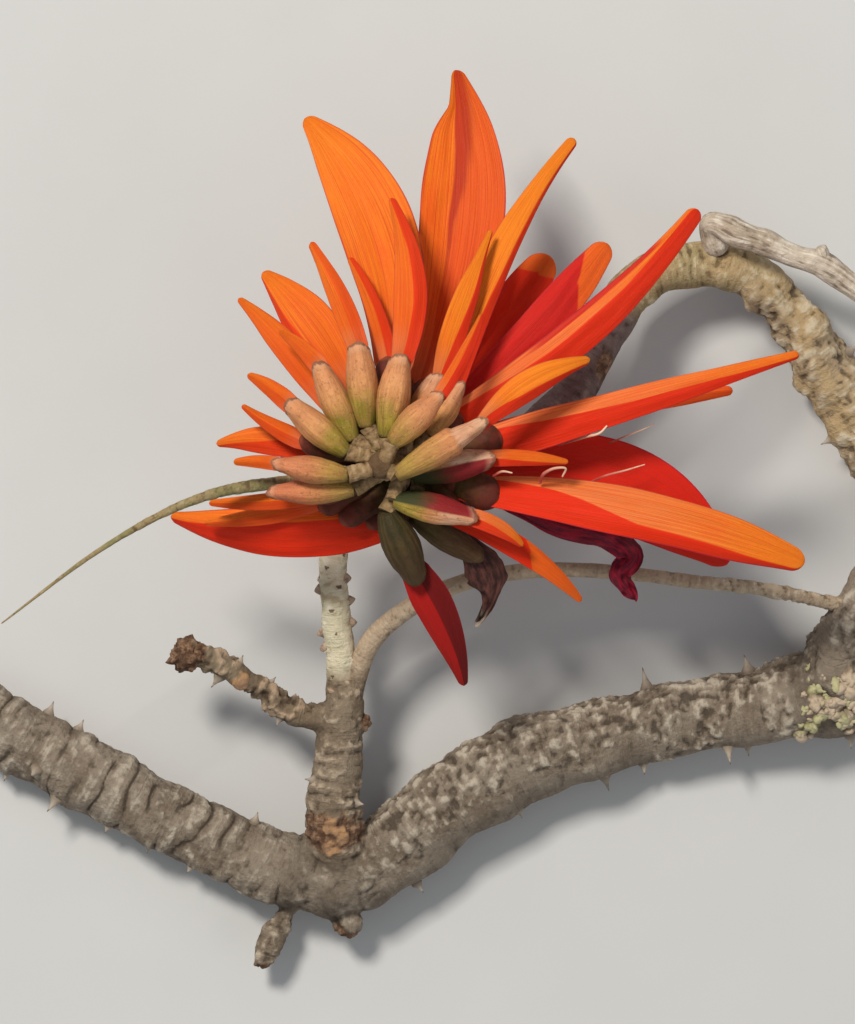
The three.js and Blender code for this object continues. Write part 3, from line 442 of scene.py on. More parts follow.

# Lichen nodules: the seed of their places, their number, their least and greatest radius and how
# knobby they are. They sit on a limb, on a stretch of its length, at degrees round it, with a scatter
# in degrees. Then the dark and light of the green-yellow ones and of the tan: painted shade at a
# nodule's foot and painted light on its top.
LICHEN_SEED = 11
LICHEN_COUNT = 130
LICHEN_SIZES = (0.6, 1.8)
LICHEN_KNOBS = 0.55
LICHEN_PLACES = (("fork", 0, 0.2, -40), ("limb_right", 0.81, 0.94, -14), ("limb_right", 0.86, 0.92, 0))
LICHEN_SCATTER = 24
LICHEN_TINTS = (((0.18, 0.17, 0.07), (0.42, 0.39, 0.22)), ((0.2, 0.145, 0.095), (0.46, 0.365, 0.265)))

# Lights: the way to each from the branch, its distance and size in metres and its share of the
# key light's power. Then their colour, the colour and strength of the sky, the two greys of the
# floor, and the width of the camera's sensor in millimetres.
LIGHTS = (("key", (-0.38, 0.5, 1), 1.6, 0.32, 1.0), ("fill", (0.8, -0.5, 0.6), 1.8, 1.2, 0.18))
LAMP_COLOUR = (1, 0.94, 0.84)
SKY_COLOUR = (0.92, 0.96, 1, 1)
SKY_STRENGTH = 0.4
FLOOR_GREYS = ((0.5, 0.505, 0.51), (0.53, 0.533, 0.536))
SENSOR_WIDTH = 36


def unit(vectors):
    """Vectors of length one."""
    return vectors / np.linalg.norm(vectors, axis=-1, keepdims=True)


def ease(values, low, high):
    """0 below low and 1 above high, with a smooth step between them."""
    share = np.clip((np.asarray(values, float) - low) / (high - low), 0, 1)
    return share * share * (3 - 2 * share)


def circle(columns):
    """Angles at even steps round a circle."""
    return np.linspace(0, 2 * math.pi, columns, endpoint=False)


def grain(points, size):
    """Noise at each point, with features of a given size in millimetres."""
    return np.array([noise.noise(point) for point in (points / size).tolist()])


def billows(points, size):
    """Round lumps with sharp clefts between them, from about 0 to 1."""
    return 1.8 * np.array([noise.turbulence(point, 2, True) for point in (points / size).tolist()])


def crusts(points, size):
    """Irregular crusty lumps, from about -1 to 1."""
    return np.array([noise.fractal(point, 0.8, 2.2, 4) for point in (points / size).tolist()])


def around(polar):
    """A point of the bloom from its clock angle, reach and height."""
    clock, reach, height = polar
    angle = math.radians(clock)
    x, y = BLOOM_TIP
    return np.array((x + reach * math.cos(angle), y + reach * math.sin(angle), height))


def mixed(low, high, start, end, t):
    """The value at t between low, which stands at start, and high, which stands at end."""
    return ((end - t) * low + (t - start) * high) / (end - start)


def spline(route):
    """Closely spaced points of a centripetal curve through a route."""
    knots = np.asarray(route, float)
    knots = np.vstack((2 * knots[0] - knots[1], knots, 2 * knots[-1] - knots[-2]))
    stretches = []
    for four in zip(knots, knots[1:], knots[2:], knots[3:]):
        times = np.cumsum([0, *(math.sqrt(math.dist(a, b)) for a, b in zip(four, four[1:]))])
        t = np.linspace(times[1], times[2], SPLINE_STEPS, endpoint=False)[:, None]
        near = [mixed(four[i], four[i + 1], times[i], times[i + 1], t) for i in range(3)]
        wide = [mixed(near[i], near[i + 1], times[i], times[i + 2], t) for i in range(2)]
        stretches.append(mixed(*wide, times[1], times[2], t))
    return np.vstack((*stretches, knots[-2]))


def level_axes(tangents):
    """For lines that run along the tangents, the way nearest to up and the way to the left."""
    steep = np.abs(np.atleast_2d(tangents)[:, 2]).max() > STEEP
    lift = np.array((1.0, 0, 0) if steep else (0, 0, 1.0))
    tops = unit(lift - tangents * (tangents @ lift)[..., None])
    return tops, np.cross(tops, tangents)


class Course:
    """The middle line of a limb, with its radius and axes at each even step."""

    def __init__(self, route, girth, step, rounded=(False, False)):
        dense = spline(route)
        reach = np.concatenate(([0], np.cumsum(np.linalg.norm(np.diff(dense, axis=0), axis=1))))
        self.length = reach[-1]
        self.along = np.linspace(0, self.length, max(3, round(self.length / step) + 1))
        self.centres = np.stack([np.interp(self.along, reach, dense[:, i]) for i in range(3)], 1)
        self.shares = self.along / self.length
        self.radii = np.interp(self.shares, np.linspace(0, 1, len(girth)), girth)
        for end, left in zip(rounded, (self.along, self.length - self.along)):
            if end:
                self.radii = self.radii * np.sqrt(1 - (1 - np.clip(left / self.radii, 0.02, 1)) ** 2)
        self.tangents = unit(np.gradient(self.centres, axis=0))
        self.tops, self.lefts = level_axes(self.tangents)

    def rings(self, radii, angles):
        """Points round the line, at a radius for each step and angle. Angle 0 is the top."""
        up, aside = np.cos(angles)[:, None], np.sin(angles)[:, None]
        out = up * self.tops[:, None] + aside * self.lefts[:, None]
        return self.centres[:, None] + radii[..., None] * out

    def nearest(self, points):
        """For each point, its place along and across the line, and its gap to the surface."""
        places, gaps = [], []
        for some in np.array_split(points, 1 + len(points) // CHUNK):
            far = np.linalg.norm(some[:, None] - self.centres, axis=2) - self.radii
            best = far.argmin(1)
            away = some - self.centres[best]
            along = self.along[best] + np.sum(away * self.tangents[best], 1)
            across = [np.sum(away * axes[best], 1) for axes in (self.tops, self.lefts)]
            places.append(np.stack((along, *across), 1))
            gaps.append(far[np.arange(len(some)), best])
        return np.concatenate(places), np.concatenate(gaps)

    def place_at(self, share, degrees):
        """The middle of the limb at a share of its length, the way out, the way on and the radius."""
        step = round(share * (len(self.along) - 1))
        angle = math.radians(degrees)
        out = math.cos(angle) * self.tops[step] + math.sin(angle) * self.lefts[step]
        return self.centres[step], out, self.tangents[step], self.radii[step]


def skin(rings, marks=None):
    """A closed skin over rings of points, with a middle point at each end: points, faces, marks."""
    rows, columns = rings.shape[:2]
    row, column = np.meshgrid(np.arange(rows - 1), np.arange(columns), indexing="ij")
    here = (row * columns + column).ravel()
    beside = (row * columns + (column + 1) % columns).ravel()
    faces = np.stack((here, beside, beside + columns, here + columns), 1).tolist()
    first, last, end = rows * columns, rows * columns + 1, (rows - 1) * columns
    for i in range(columns):
        j = (i + 1) % columns
        faces += [(j, i, first), (end + i, end + j, last)]
    points = np.vstack((rings.reshape(-1, 3), rings[0].mean(0), rings[-1].mean(0)))
    spread = {}
    for mark, values in (marks or {}).items():
        grid = np.broadcast_to(values, (rows, columns))
        spread[mark] = np.concatenate((grid.ravel(), (grid[0].mean(), grid[-1].mean())))
    return points, faces, spread


def joined(skins):
    """Several skins as one. A mark that a skin lacks is 0 there."""
    names = sorted({mark for skin_marks in skins for mark in skin_marks[2]})
    points, faces, marks, start = [], [], {name: [] for name in names}, 0
    for some, some_faces, some_marks in skins:
        points.append(some)
        faces += [[i + start for i in face] for face in some_faces]
        for name in names:
            marks[name].append(some_marks.get(name, np.zeros(len(some))))
        start += len(some)
    return np.vstack(points), faces, {name: np.concatenate(parts) for name, parts in marks.items()}


def ball(centre, radius):
    """A round lump."""
    heights = np.linspace(0, math.pi, BALL_ROWS)[1:-1]
    angles = circle(BALL_COLUMNS)
    level = np.stack((np.cos(angles), np.sin(angles), np.zeros(BALL_COLUMNS)), 1)
    rings = np.stack([math.sin(height) * level - (0, 0, math.cos(height)) for height in heights])
    return skin(np.asarray(centre) + radius * rings)


def new_mesh(name, points, faces, marks=None):
    """A smooth mesh from points in plan millimetres, with its faces turned out."""
    mesh = bpy.data.meshes.new(name)
    mesh.from_pydata((points + PLAN_SHIFT) * MM, [], faces)
    shell = bmesh.new()
    shell.from_mesh(mesh)
    bmesh.ops.recalc_face_normals(shell, faces=shell.faces)
    shell.to_mesh(mesh)
    shell.free()
    set_marks(mesh, marks or {})
    mesh.shade_smooth()
    mesh.set_sharp_from_angle(angle=SHARP)
    return mesh


def set_marks(mesh, marks):
    """Named numbers on a mesh's points, for its material to read."""
    for name, values in marks.items():
        layer = mesh.attributes.new(name, "FLOAT", "POINT")
        layer.data.foreach_set("value", np.ascontiguousarray(values, np.float32))


def placed(name, data):
    """A new object of the scene."""
    thing = bpy.data.objects.new(name, data)
    bpy.context.scene.collection.objects.link(thing)
    return thing


def add_piece(name, mesh, slot, material, *nodes):
    """Adds a mesh as a piece of the branch, in place of the solids that it stands for."""
    piece = placed(name, mesh)
    mesh.materials.append(material)
    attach(piece, BODY)
    if nodes:
        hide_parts(*nodes)
    return piece


class Socket:
    """An output in a finish's node tree. Sums and products of it add Math nodes."""

    def __init__(self, finish, output):
        self.finish = finish
        self.output = output

    def math(self, operation, *terms):
        """One Math node with these terms."""
        return self.finish.node("ShaderNodeMath", {"operation": operation}, dict(enumerate(terms)))

    def __add__(self, other):
        return self.math("ADD", self, other)

    __radd__ = __add__

    def __mul__(self, other):
        return self.math("MULTIPLY", self, other)

    def __sub__(self, other):
        return self.math("SUBTRACT", self, other)

    def __rsub__(self, other):
        return self.math("SUBTRACT", other, self)

    def __abs__(self):
        return self.math("ABSOLUTE", self)

    def sine(self):
        """The sine of this output."""
        return self.math("SINE", self)

    def step(self, low, high):
        """0 below low and 1 above high, with a smooth step between them."""
        settings = {"interpolation_type": "SMOOTHSTEP"}
        return self.finish.node("ShaderNodeMapRange", settings, {0: self, 1: low, 2: high})


class Finish:
    """A material, and the nodes that work out its colour and its surface."""

    def __init__(self, name):
        self.material = bpy.data.materials.new(name)
        self.material.use_nodes = True
        self.tree = self.material.node_tree
        self.shader = self.tree.nodes["Principled BSDF"]

    def link(self, value, socket):
        """Gives a socket a number, a colour or an output of this tree."""
        if isinstance(value, Socket):
            self.tree.links.new(value.output, socket)
        elif isinstance(socket.default_value, (int, float)):
            socket.default_value = value
        else:
            socket.default_value = (*value, 1.0)[: len(socket.default_value)]

    def node(self, kind, settings=None, inputs=None, output=0):
        """Adds one node: its settings come first, then the values or links of its sockets."""
        made = self.tree.nodes.new(kind)
        for setting, value in (settings or {}).items():
            setattr(made, setting, value)
        for socket, value in (inputs or {}).items():
            self.link(value, made.inputs[socket])
        return Socket(self, made.outputs[output])

    def mark(self, name):
        """A named number of the mesh's points."""
        return self.node("ShaderNodeAttribute", {"attribute_name": name}, output="Fac")

    def place(self):
        """The place on the branch, in metres."""
        return self.node("ShaderNodeTexCoord", output="Object")

    def vector(self, x, y, z):
        """Three numbers as one vector."""
        return self.node("ShaderNodeCombineXYZ", inputs={0: x, 1: y, 2: z})

    def noise(self, place, scale, detail=3.0, roughness=0.6):
        """Cloudy noise between 0 and 1."""
        inputs = {"Vector": place, "Scale": scale, "Detail": detail, "Roughness": roughness}
        return self.node("ShaderNodeTexNoise", None, inputs)

    def mix(self, share, low, high):
        """A colour between two."""
        return self.node("ShaderNodeMix", {"data_type": "RGBA"}, {0: share, 6: low, 7: high}, output=2)

    def coated(self, colour, *coats):
        """A colour under several coats, each with its share and its own colour."""
        for share, coat in coats:
            colour = self.mix(share, colour, coat)
        return colour

    def bump(self, height, distance):
        """A fine relief, with its height in metres."""
        return self.node("ShaderNodeBump", None, {"Height": height, "Distance": distance})

    def surface(self, **values):
        """Sets the shader's sockets, named by words joined with _, and gives the material."""
        for words, value in values.items():
            name = " ".join(w.upper() if w == "ior" else w.capitalize() for w in words.split("_"))
            self.link(value, self.shader.inputs[name])
        return self.material


def bark_relief(places, bark):
    """Bark at places along a limb and across it: its height in millimetres, its creases and its
    crests, both from 0 to 1, and its run along the limb."""
    lump_size, lump = bark["lumps"]
    pitch, fold = bark["folds"]
    wart_size, wart = bark["warts"]
    phase = places[:, 0] / pitch + bark.get("wander", FOLD_WANDER) * grain(places, 1.5 * pitch)
    ridge = np.abs(np.sin(math.pi * phase))
    deep = ease(grain(places + 31, 1.6 * pitch), -0.3, 0.2)
    crease = (1 - ease(ridge, 0, 0.4)) * deep * min(1, fold / DEEP_FOLD)
    warty = ease(grain(places + 57, 3 * wart_size) + bark.get("lean", 0) * places[:, 2], -0.4, 0)
    warted = ROUNDNESS * (billows(places * WART_STRETCH, wart_size) - 0.5)
    warted += CRUSTINESS * crusts(places + 83, wart_size)
    detail = fold * deep * (ridge ** 0.5 - 0.7) + wart * warty * warted
    detail += min(WRINKLE_HEIGHT, fold) * grain(places * bark.get("grain", WRINKLE_STRETCH), 4)
    spread = 0.45 * (fold + wart) + 0.05
    height = lump * grain(places, lump_size) + detail
    return height, crease, ease(detail, -spread, spread), places[:, 0] / 10


def limb_bark(points, courses):
    """The bark where several limbs grow together: its height, its creases, its crests, its run and
    how brown it is."""
    found = {name: course.nearest(points) for name, course in courses.items()}
    weights = {name: np.exp(-gap / LIMB_BLEND) for name, (_, gap) in found.items()}
    whole = sum(weights.values())
    blended = np.zeros((4, len(points)))
    for name, (places, _) in found.items():
        weight = weights[name] / whole
        near = np.flatnonzero(weight > FAINT)
        blended[:, near] += weight[near] * np.array(bark_relief(places[near], BARKS[name]))
    brown = sum(share * weights[name] / whole for name, share in BROWN_LIMBS)
    return *blended, brown


def sawn(points, courses):
    """1 on the saw cuts at the limbs' open ends, and how far out from the pith, from 0 to 1."""
    cut, radial = np.zeros((2, len(points)))
    for name, end in SAWN_ENDS:
        course = courses[name]
        step = -1 if end else 0
        outward = course.tangents[step] if end else -course.tangents[step]
        away = points - course.centres[step]
        out = np.linalg.norm(away, axis=1) / course.radii[step]
        here = ease(away @ outward, *CUT_DEPTHS) * (out < CUT_REACH)
        cut = np.maximum(cut, here)
        radial = np.where(here > 0, out, radial)
    return cut, radial


def remeshed(points, faces, size):
    """The outer surface of overlapping closed skins as an even mesh, in plan millimetres."""
    raw = new_mesh("raw", points, faces)
    holder = placed("raw", raw)
    remesh = holder.modifiers.new("even", "REMESH")
    remesh.mode = "VOXEL"
    remesh.voxel_size = size * MM
    smooth = holder.modifiers.new("smooth", "SMOOTH")
    smooth.iterations = 4
    even = bpy.data.meshes.new_from_object(holder.evaluated_get(bpy.context.evaluated_depsgraph_get()))
    bpy.data.objects.remove(holder)
    bpy.data.meshes.remove(raw)
    return even


def mesh_points(mesh, kind="co"):
    """The places or normals of a mesh's points."""
    values = np.empty(3 * len(mesh.vertices))
    mesh.vertices.foreach_get(kind, values)
    return values.reshape(-1, 3)


def tube(course, columns, *barks):
    """A limb's rings with its bark, and their marks. A bark comes with its weight at each step."""
    angles = circle(columns)
    radii = course.radii[:, None]
    shape = (len(radii), columns)
    around_it = (radii * np.cos(angles), radii * np.sin(angles))
    places = np.stack((np.broadcast_to(course.along[:, None], shape), *around_it), -1).reshape(-1, 3)
    blended = np.zeros((4, *shape))
    for weight, name in barks:
        relief = np.array(bark_relief(places, BARKS[name])).reshape(4, *shape)
        blended += np.broadcast_to(weight, shape[0])[:, None] * relief
    height, crease, crest, run = blended
    rings = course.rings(radii + height * np.minimum(1, radii / FULL_RELIEF), angles)
    up, aside = (np.broadcast_to(line, shape) for line in (np.cos(angles), np.sin(angles)))
    return rings, dict(crease=crease, crest=crest, run=run, up=up, aside=aside)


def sawn_face(rings, marks, end):
    """The same rings with a flat sawn face at one end, and their marks."""
    rim = rings[-1 if end else 0]
    shares = np.linspace(0, 1, FACE_RINGS + 1)[1:-1]
    centre = rim.mean(0)
    face = centre + shares[:, None, None] * (rim - centre)
    blank = np.zeros(rings.shape[:2])
    marks = dict(marks, cut=blank, radial=blank)
    added = {name: np.zeros(face.shape[:2]) for name in marks}
    added["cut"] += 1
    added["radial"] += shares[:, None]

    def with_face(grid, added_grid):
        """A grid of the rings with that of the face at the sawn end."""
        return np.concatenate((grid, added_grid[::-1]) if end else (added_grid, grid))

    return with_face(rings, face), {name: with_face(marks[name], added[name]) for name in marks}


def bark_finish(name, colours, others=(), gloss=0.85, fibrous=False):
    """Bark: patchy skin with painted shade in its creases and hollows, crests pale partly as crust and
    partly as painted highlight, and fine grain, or fibres along a bare twig. Other colours come each
    with the mark that shows where they hold."""
    bark = Finish(name)
    place = bark.place()
    clouds = bark.noise(place, 130, 5)
    grains = bark.noise(place, 1500, 4)
    flakes = bark.noise(place, 480, 6, 0.7)
    run = bark.mark("run")
    lines = bark.vector(run * 16 + clouds * 3, clouds * 6, 0)
    flaky, lined = 0.9, 0.6
    if fibrous:
        lines = bark.vector(run * 1.4, bark.mark("up") * 4, bark.mark("aside") * 4)
        flaky, lined = 0.5, 2.2
    rings = bark.noise(lines, 1, 5)
    for mark, other in others:
        colours = [bark.mix(bark.mark(mark), low, high) for low, high in zip(colours, other)]
    plain, patch, dark, pale = colours
    # The crests and the hollows, with flaky grain over them, for the painted highlight and shade below.
    shading_and_grain = bark.mark("crest") + (flakes - 0.5) * flaky + (rings - 0.5) * lined
    radial = bark.mark("radial")
    dull_ring, pale_ring, pith = CUT_WOOD
    wood = bark.coated(
        bark.mix((radial * 38 + clouds * 5).sine().step(-0.6, 0.9), dull_ring, pale_ring),
        (1 - radial.step(0.1, 0.16), pith),
        (radial.step(0.86, 0.94), dark))
    colour = bark.coated(
        bark.mix((clouds + (grains - 0.5) * 0.4).step(0.38, 0.64), plain, patch),
        # Pale on the crests, partly crust and partly painted highlight, then painted shade in the hollows
        # and in the creases.
        (shading_and_grain.step(0.55, 1.1) * 0.85, pale),
        ((1 - shading_and_grain.step(0.1, 0.5)) * 0.75, dark),
        ((bark.mark("crease") + (flakes - 0.5) * 0.9).step(0.3, 0.9) * 0.9, dark),
        (bark.mark("wound") * 0.9, bark.mix(flakes.step(0.42, 0.68), WOUND_DARK, WOUND_BROWN)),
        (bark.mark("knob") * 0.9, bark.mix(flakes.step(0.38, 0.6), WOUND_BROWN, KNOB_ORANGE)),
        # Pale leaf-scar rims: partly the scars' cream and partly painted highlight on their ridges.
        (bark.mark("scar") * flakes.step(0.3, 0.6) * 0.6, SCAR_CREAM_AND_HIGHLIGHT),
        ((bark.mark("spot") + (grains - 0.5) * 0.5).step(0.3, 0.7) * 0.85, SCAR_BROWN),
        (bark.mark("cut"), wood))
    fine = bark.bump(grains * 0.5 + flakes + rings * 0.7, 0.0006)
    roughness = gloss + (grains - 0.5) * 0.2
    return bark.surface(base_color=colour, roughness=roughness, normal=fine, specular_ior_level=0.25)


class WoodSettings(bpy.types.PropertyGroup):
    """Sizes and colours of the limbs and twigs."""

    voxel: FloatProperty(
        name="Bark Detail", description="Size of the squares that carry the bark's relief",
        default=0.0004, min=0.0003, max=0.002, unit="LENGTH", precision=5)
    thorn_radius: FloatProperty(
        name="Thorn Radius", description="Radius of a thorn at its foot",
        default=0.0012, min=0.0005, max=0.003, unit="LENGTH", precision=4)
    bark_plain: FloatVectorProperty(
        name="Bark", description="Colour of the grey bark where it is smooth",
        default=BARK_COLOURS["grey"][0], subtype="COLOR", min=0, max=1)
    # The colour of the painted shade in the grey bark's creases and hollows.
    bark_crease_shade: FloatVectorProperty(
        name="Bark Creases", description="Colour of the grey bark's creases",
        default=BARK_COLOURS["grey"][2], subtype="COLOR", min=0, max=1)


class BloomSettings(bpy.types.PropertyGroup):
    """Sizes and colours of the bloom."""

    petal_thickness: FloatProperty(
        name="Petal Thickness", description="Thickness of a petal along its crease",
        default=0.0006, min=0.0002, max=0.0009, unit="LENGTH", precision=5)
    calyx_wall: FloatProperty(
        name="Calyx Wall", description="Thickness of a calyx at its mouth",
        default=0.0004, min=0.0002, max=0.0008, unit="LENGTH", precision=5)
    petal_orange: FloatVectorProperty(
        name="Petal Orange", description="Colour of a petal's lit side",
        default=(0.74, 0.115, 0.01), subtype="COLOR", min=0, max=1)
    petal_red: FloatVectorProperty(
        name="Petal Red", description="Colour of a petal's shaded side",
        default=(0.7, 0.024, 0.003), subtype="COLOR", min=0, max=1)
    # The crimson is partly the inner petals' own colour and partly painted shade.
    petal_crimson: FloatVectorProperty(
        name="Petal Crimson", description="Colour of the dark petals of the inner rings",
        default=(0.5, 0.007, 0.009), subtype="COLOR", min=0, max=1)


class StageSettings(bpy.types.PropertyGroup):
    """The camera, the floor and the lights."""

    camera_height: FloatProperty(
        name="Camera Height", description="Height of the camera over the branch's lowest point",
        default=2.03, min=0.5, max=5, unit="LENGTH")
    focal_length: FloatProperty(
        name="Focal Length", description="Focal length that frames the branch",
        default=351.5625, min=50, max=600, unit="CAMERA")
    floor_size: FloatProperty(
        name="Floor Size", description="Side of the square floor",
        default=8.0, min=1, max=20, unit="LENGTH")
    sun_power: FloatProperty(
        name="Key Light", description="Power of the large light at the upper left",
        default=25.0, min=0, max=500, unit="POWER")


class GreyLimbs(bpy.types.Operator):
    """Builds the two thick limbs, the ringed spur and the rough twig as one grown-together skin"""

    bl_idname = "coral_branch.grey_limbs"
    bl_label = "Grey Limbs"

    def execute(self, context):
        wood = context.scene.branch_wood
        courses = {name: course_of(name, 1) for name in GREY_LIMBS}
        skins = [plain_tube(course, COLUMNS["plain"]) for course in courses.values()]
        skins += [ball(centre, radius) for centre, radius in BUDS]
        points, faces, _ = joined(skins)
        mesh = remeshed(points, faces, wood.voxel / MM)
        places = mesh_points(mesh) / MM - PLAN_SHIFT
        normals = mesh_points(mesh, "normal")
        height, crease, crest, run, brown = limb_bark(places, courses)
        cut, radial = sawn(places, courses)
        rise, scar, _ = leaf_scars(places, courses["spur"], SPUR_SCARS)
        torn_height, wound, knob = torn_places(places, WOUNDS)
        swollen = sum(ease(-np.linalg.norm(places - centre, axis=1), -BUD_REACH * radius, -radius)
                      for centre, radius in BUDS)
        height += rise + torn_height + BUD_HEIGHT * swollen * crusts(places, 1.5)
        moved = places + normals * (height * (1 - cut))[:, None]
        moved[:, 2] = np.maximum(moved[:, 2], -PLAN_SHIFT[2])
        mesh.vertices.foreach_set("co", ((moved + PLAN_SHIFT) * MM).ravel())
        set_marks(mesh, dict(crease=crease, crest=crest, run=run, cut=cut, radial=radial, wound=wound,
                             knob=knob, scar=scar, brown=brown))
        mesh.shade_smooth()
        finish = bark_finish("grey_bark", grey_colours(wood), (("brown", BARK_COLOURS["stub"]),))
        add_piece("grey_limbs", mesh, "grey_bark", finish, "limb_right", "limb_left", "spur", "stub_twig")
        return {"FINISHED"}


def course_of(name, step=0.5, rounded=(False, False)):
    """The course of a limb, by steps in millimetres."""
    limb = LIMBS[name]
    return Course(limb["route"], limb["girth"], step, rounded)


def plain_tube(course, columns, marks=None):
    """A limb's skin without its bark."""
    return skin(course.rings(np.repeat(course.radii[:, None], columns, 1), circle(columns)), marks)


def grey_colours(wood):
    """The colours of grey bark, by the settings."""
    _, patch, _, pale = BARK_COLOURS["grey"]
    return wood.bark_plain, patch, wood.bark_crease_shade, pale


def torn_places(points, wounds):
    """Torn and withered bark: its relief, where it is and where its pale knobs are."""
    wound, knob = np.zeros((2, len(points)))
    ragged = 0.3 * grain(points, 2.4)
    for centre, reach in wounds:
        gap = np.linalg.norm((points - centre) / reach, axis=1)
        wound = np.maximum(wound, ease(ragged - gap, -1, -0.8))
    lumpy = 1.1 * grain(points + 19, 1.3)
    for centre in KNOBS:
        gap = np.linalg.norm(points - centre, axis=1) + lumpy
        knob = np.maximum(knob, ease(-gap, -KNOB_SIZE, -0.6 * KNOB_SIZE))
    return TORN_HEIGHT * wound * (crusts(points, 1.7) - 0.2) + 0.5 * knob, wound, knob


def leaf_scars(points, course, scars):
    """Leaf scars of a limb: how far they stand out, their pale rims, partly scar and partly painted
    highlight, and their dark middles.
    """
    rise, pale, dark = np.zeros((3, len(points)))
    for share, degrees, size in scars:
        centre, out, on, radius = course.place_at(share, degrees)
        away = points - (centre + radius * out)
        across, along = away @ np.cross(out, on) / (1.5 * size), away @ on / (0.9 * size)
        near = ease(-np.abs(away @ out), -2, -1)
        oval = across ** 2 + along ** 2 + 0.5 * grain(points, 0.9 * size)
        hollow = across ** 2 + (along - 0.55) ** 2
        rim = ease(-oval, -1.3, -0.8) * ease(hollow, 0.5, 0.9)
        rise = np.maximum(rise, 0.4 * near * rim)
        pale = np.maximum(pale, near * rim)
        dark = np.maximum(dark, near * ease(-hollow - 0.4 * grain(points, 0.7 * size), -0.6, -0.3))
    return rise, pale, dark


class Stems(bpy.types.Operator):
    """Builds the cream stem behind the bloom and the long arched twig"""

    bl_idname = "coral_branch.stems"
    bl_label = "Stems"

    def execute(self, context):
        course = course_of("pale_stem", 0.35, (True, True))
        rings, marks = tube(course, COLUMNS["pale_stem"], (1, "pale_stem"))
        rise, _, spot = (values.reshape(rings.shape[:2])
                         for values in leaf_scars(rings.reshape(-1, 3), course, STEM_SCARS))
        outward = unit(rings - course.centres[:, None])
        marks.update(spot=spot, collar=foot_share(course))
        mesh = new_mesh("cream_stem", *skin(rings + rise[..., None] * outward, marks))
        others = (("collar", BARK_COLOURS["stub"]),)
        finish = bark_finish("cream_bark", BARK_COLOURS["cream"], others)
        add_piece("cream_stem", mesh, "pale_bark", finish, "pale_stem")
        course = course_of("arch_twig", 0.3, (True, True))
        scarred = ease(course.shares, 0.6, 0.8)
        barks = ((1 - scarred, "arch_twig"), (scarred, "scarred_twig"))
        rings, marks = tube(course, COLUMNS["arch_twig"], *barks)
        mesh = new_mesh("arched_twig", *skin(rings, dict(marks, collar=foot_share(course))))
        finish = bark_finish("twig_bark", BARK_COLOURS["twig"], others, gloss=0.7)
        add_piece("arched_twig", mesh, "twig_bark", finish, "arch_twig_low", "arch_twig_high")
        return {"FINISHED"}


def foot_share(course):
    """1 at the foot of a stem, where it is still brown, and 0 further up."""
    return 1 - ease(course.along, *FOOT_SPAN)[:, None]


class FarLimb(bpy.types.Operator):
    """Builds the limb at the upper right, its tan crook and the dark stem back to the bloom"""

    bl_idname = "coral_branch.far_limb"
    bl_label = "Far Limb"

    def execute(self, context):
        course = course_of("far_limb", 0.4, (False, True))
        first, second = FAR_TURNS
        crook = ease(course.shares, first - 0.06, first + 0.03)
        shoot = ease(course.shares, second - 0.02, second + 0.03)
        barks = ((1 - crook, "upper_limb"), (crook * (1 - shoot), "crook"), (shoot, "dark_stem"))
        rings, marks = tube(course, COLUMNS["far_limb"], *barks)
        shape = rings.shape[:2]
        _, wound, _ = torn_places(rings.reshape(-1, 3), DARK_STEM_WOUNDS)
        marks.update(crook=np.broadcast_to(crook[:, None], shape),
                     shoot=np.broadcast_to(shoot[:, None], shape), wound=wound.reshape(shape))
        rings, marks = sawn_face(rings, marks, False)
        last = len(rings) - 1
        turns = (0, *(last - round((1 - turn) * (len(course.along) - 1)) for turn in FAR_TURNS), last)
        others = (("crook", BARK_COLOURS["tan"]), ("shoot", BARK_COLOURS["dark"]))
        finish = bark_finish("far_bark", BARK_COLOURS["upper"], others)
        looks = (("upper_bough", "grey_bark", "upper_limb"), ("tan_crook", "tan_bark", "crook"),
                 ("dark_shoot", "dark_bark", "dark_stem"))
        for (name, slot, node), start, end in zip(looks, turns, turns[1:]):
            some = slice(start, end + 1)
            piece = skin(rings[some], {mark: grid[some] for mark, grid in marks.items()})
            add_piece(name, new_mesh(name, *piece), slot, finish, node)
        return {"FINISHED"}


class BrokenTwig(bpy.types.Operator):
    """Builds the weathered grey twig that lies across the limb at the upper right"""

    bl_idname = "coral_branch.broken_twig"
    bl_label = "Broken Twig"

    def execute(self, context):
        course = course_of("broken_twig", 0.35, (True, False))
        bark = (1, "broken_twig")
        twig = skin(*sawn_face(*tube(course, COLUMNS["broken_twig"], bark), True))
        knot = Course(TWIG_KNOT, KNOT_GIRTH, 0.2, (False, True))
        mesh = new_mesh("weathered_twig", *joined([twig, skin(*tube(knot, COLUMNS["knot"], bark))]))
        finish = bark_finish("weathered_bark", BARK_COLOURS["weathered"], fibrous=True)
        add_piece("weathered_twig", mesh, "grey_bark", finish, "broken_twig")
        return {"FINISHED"}


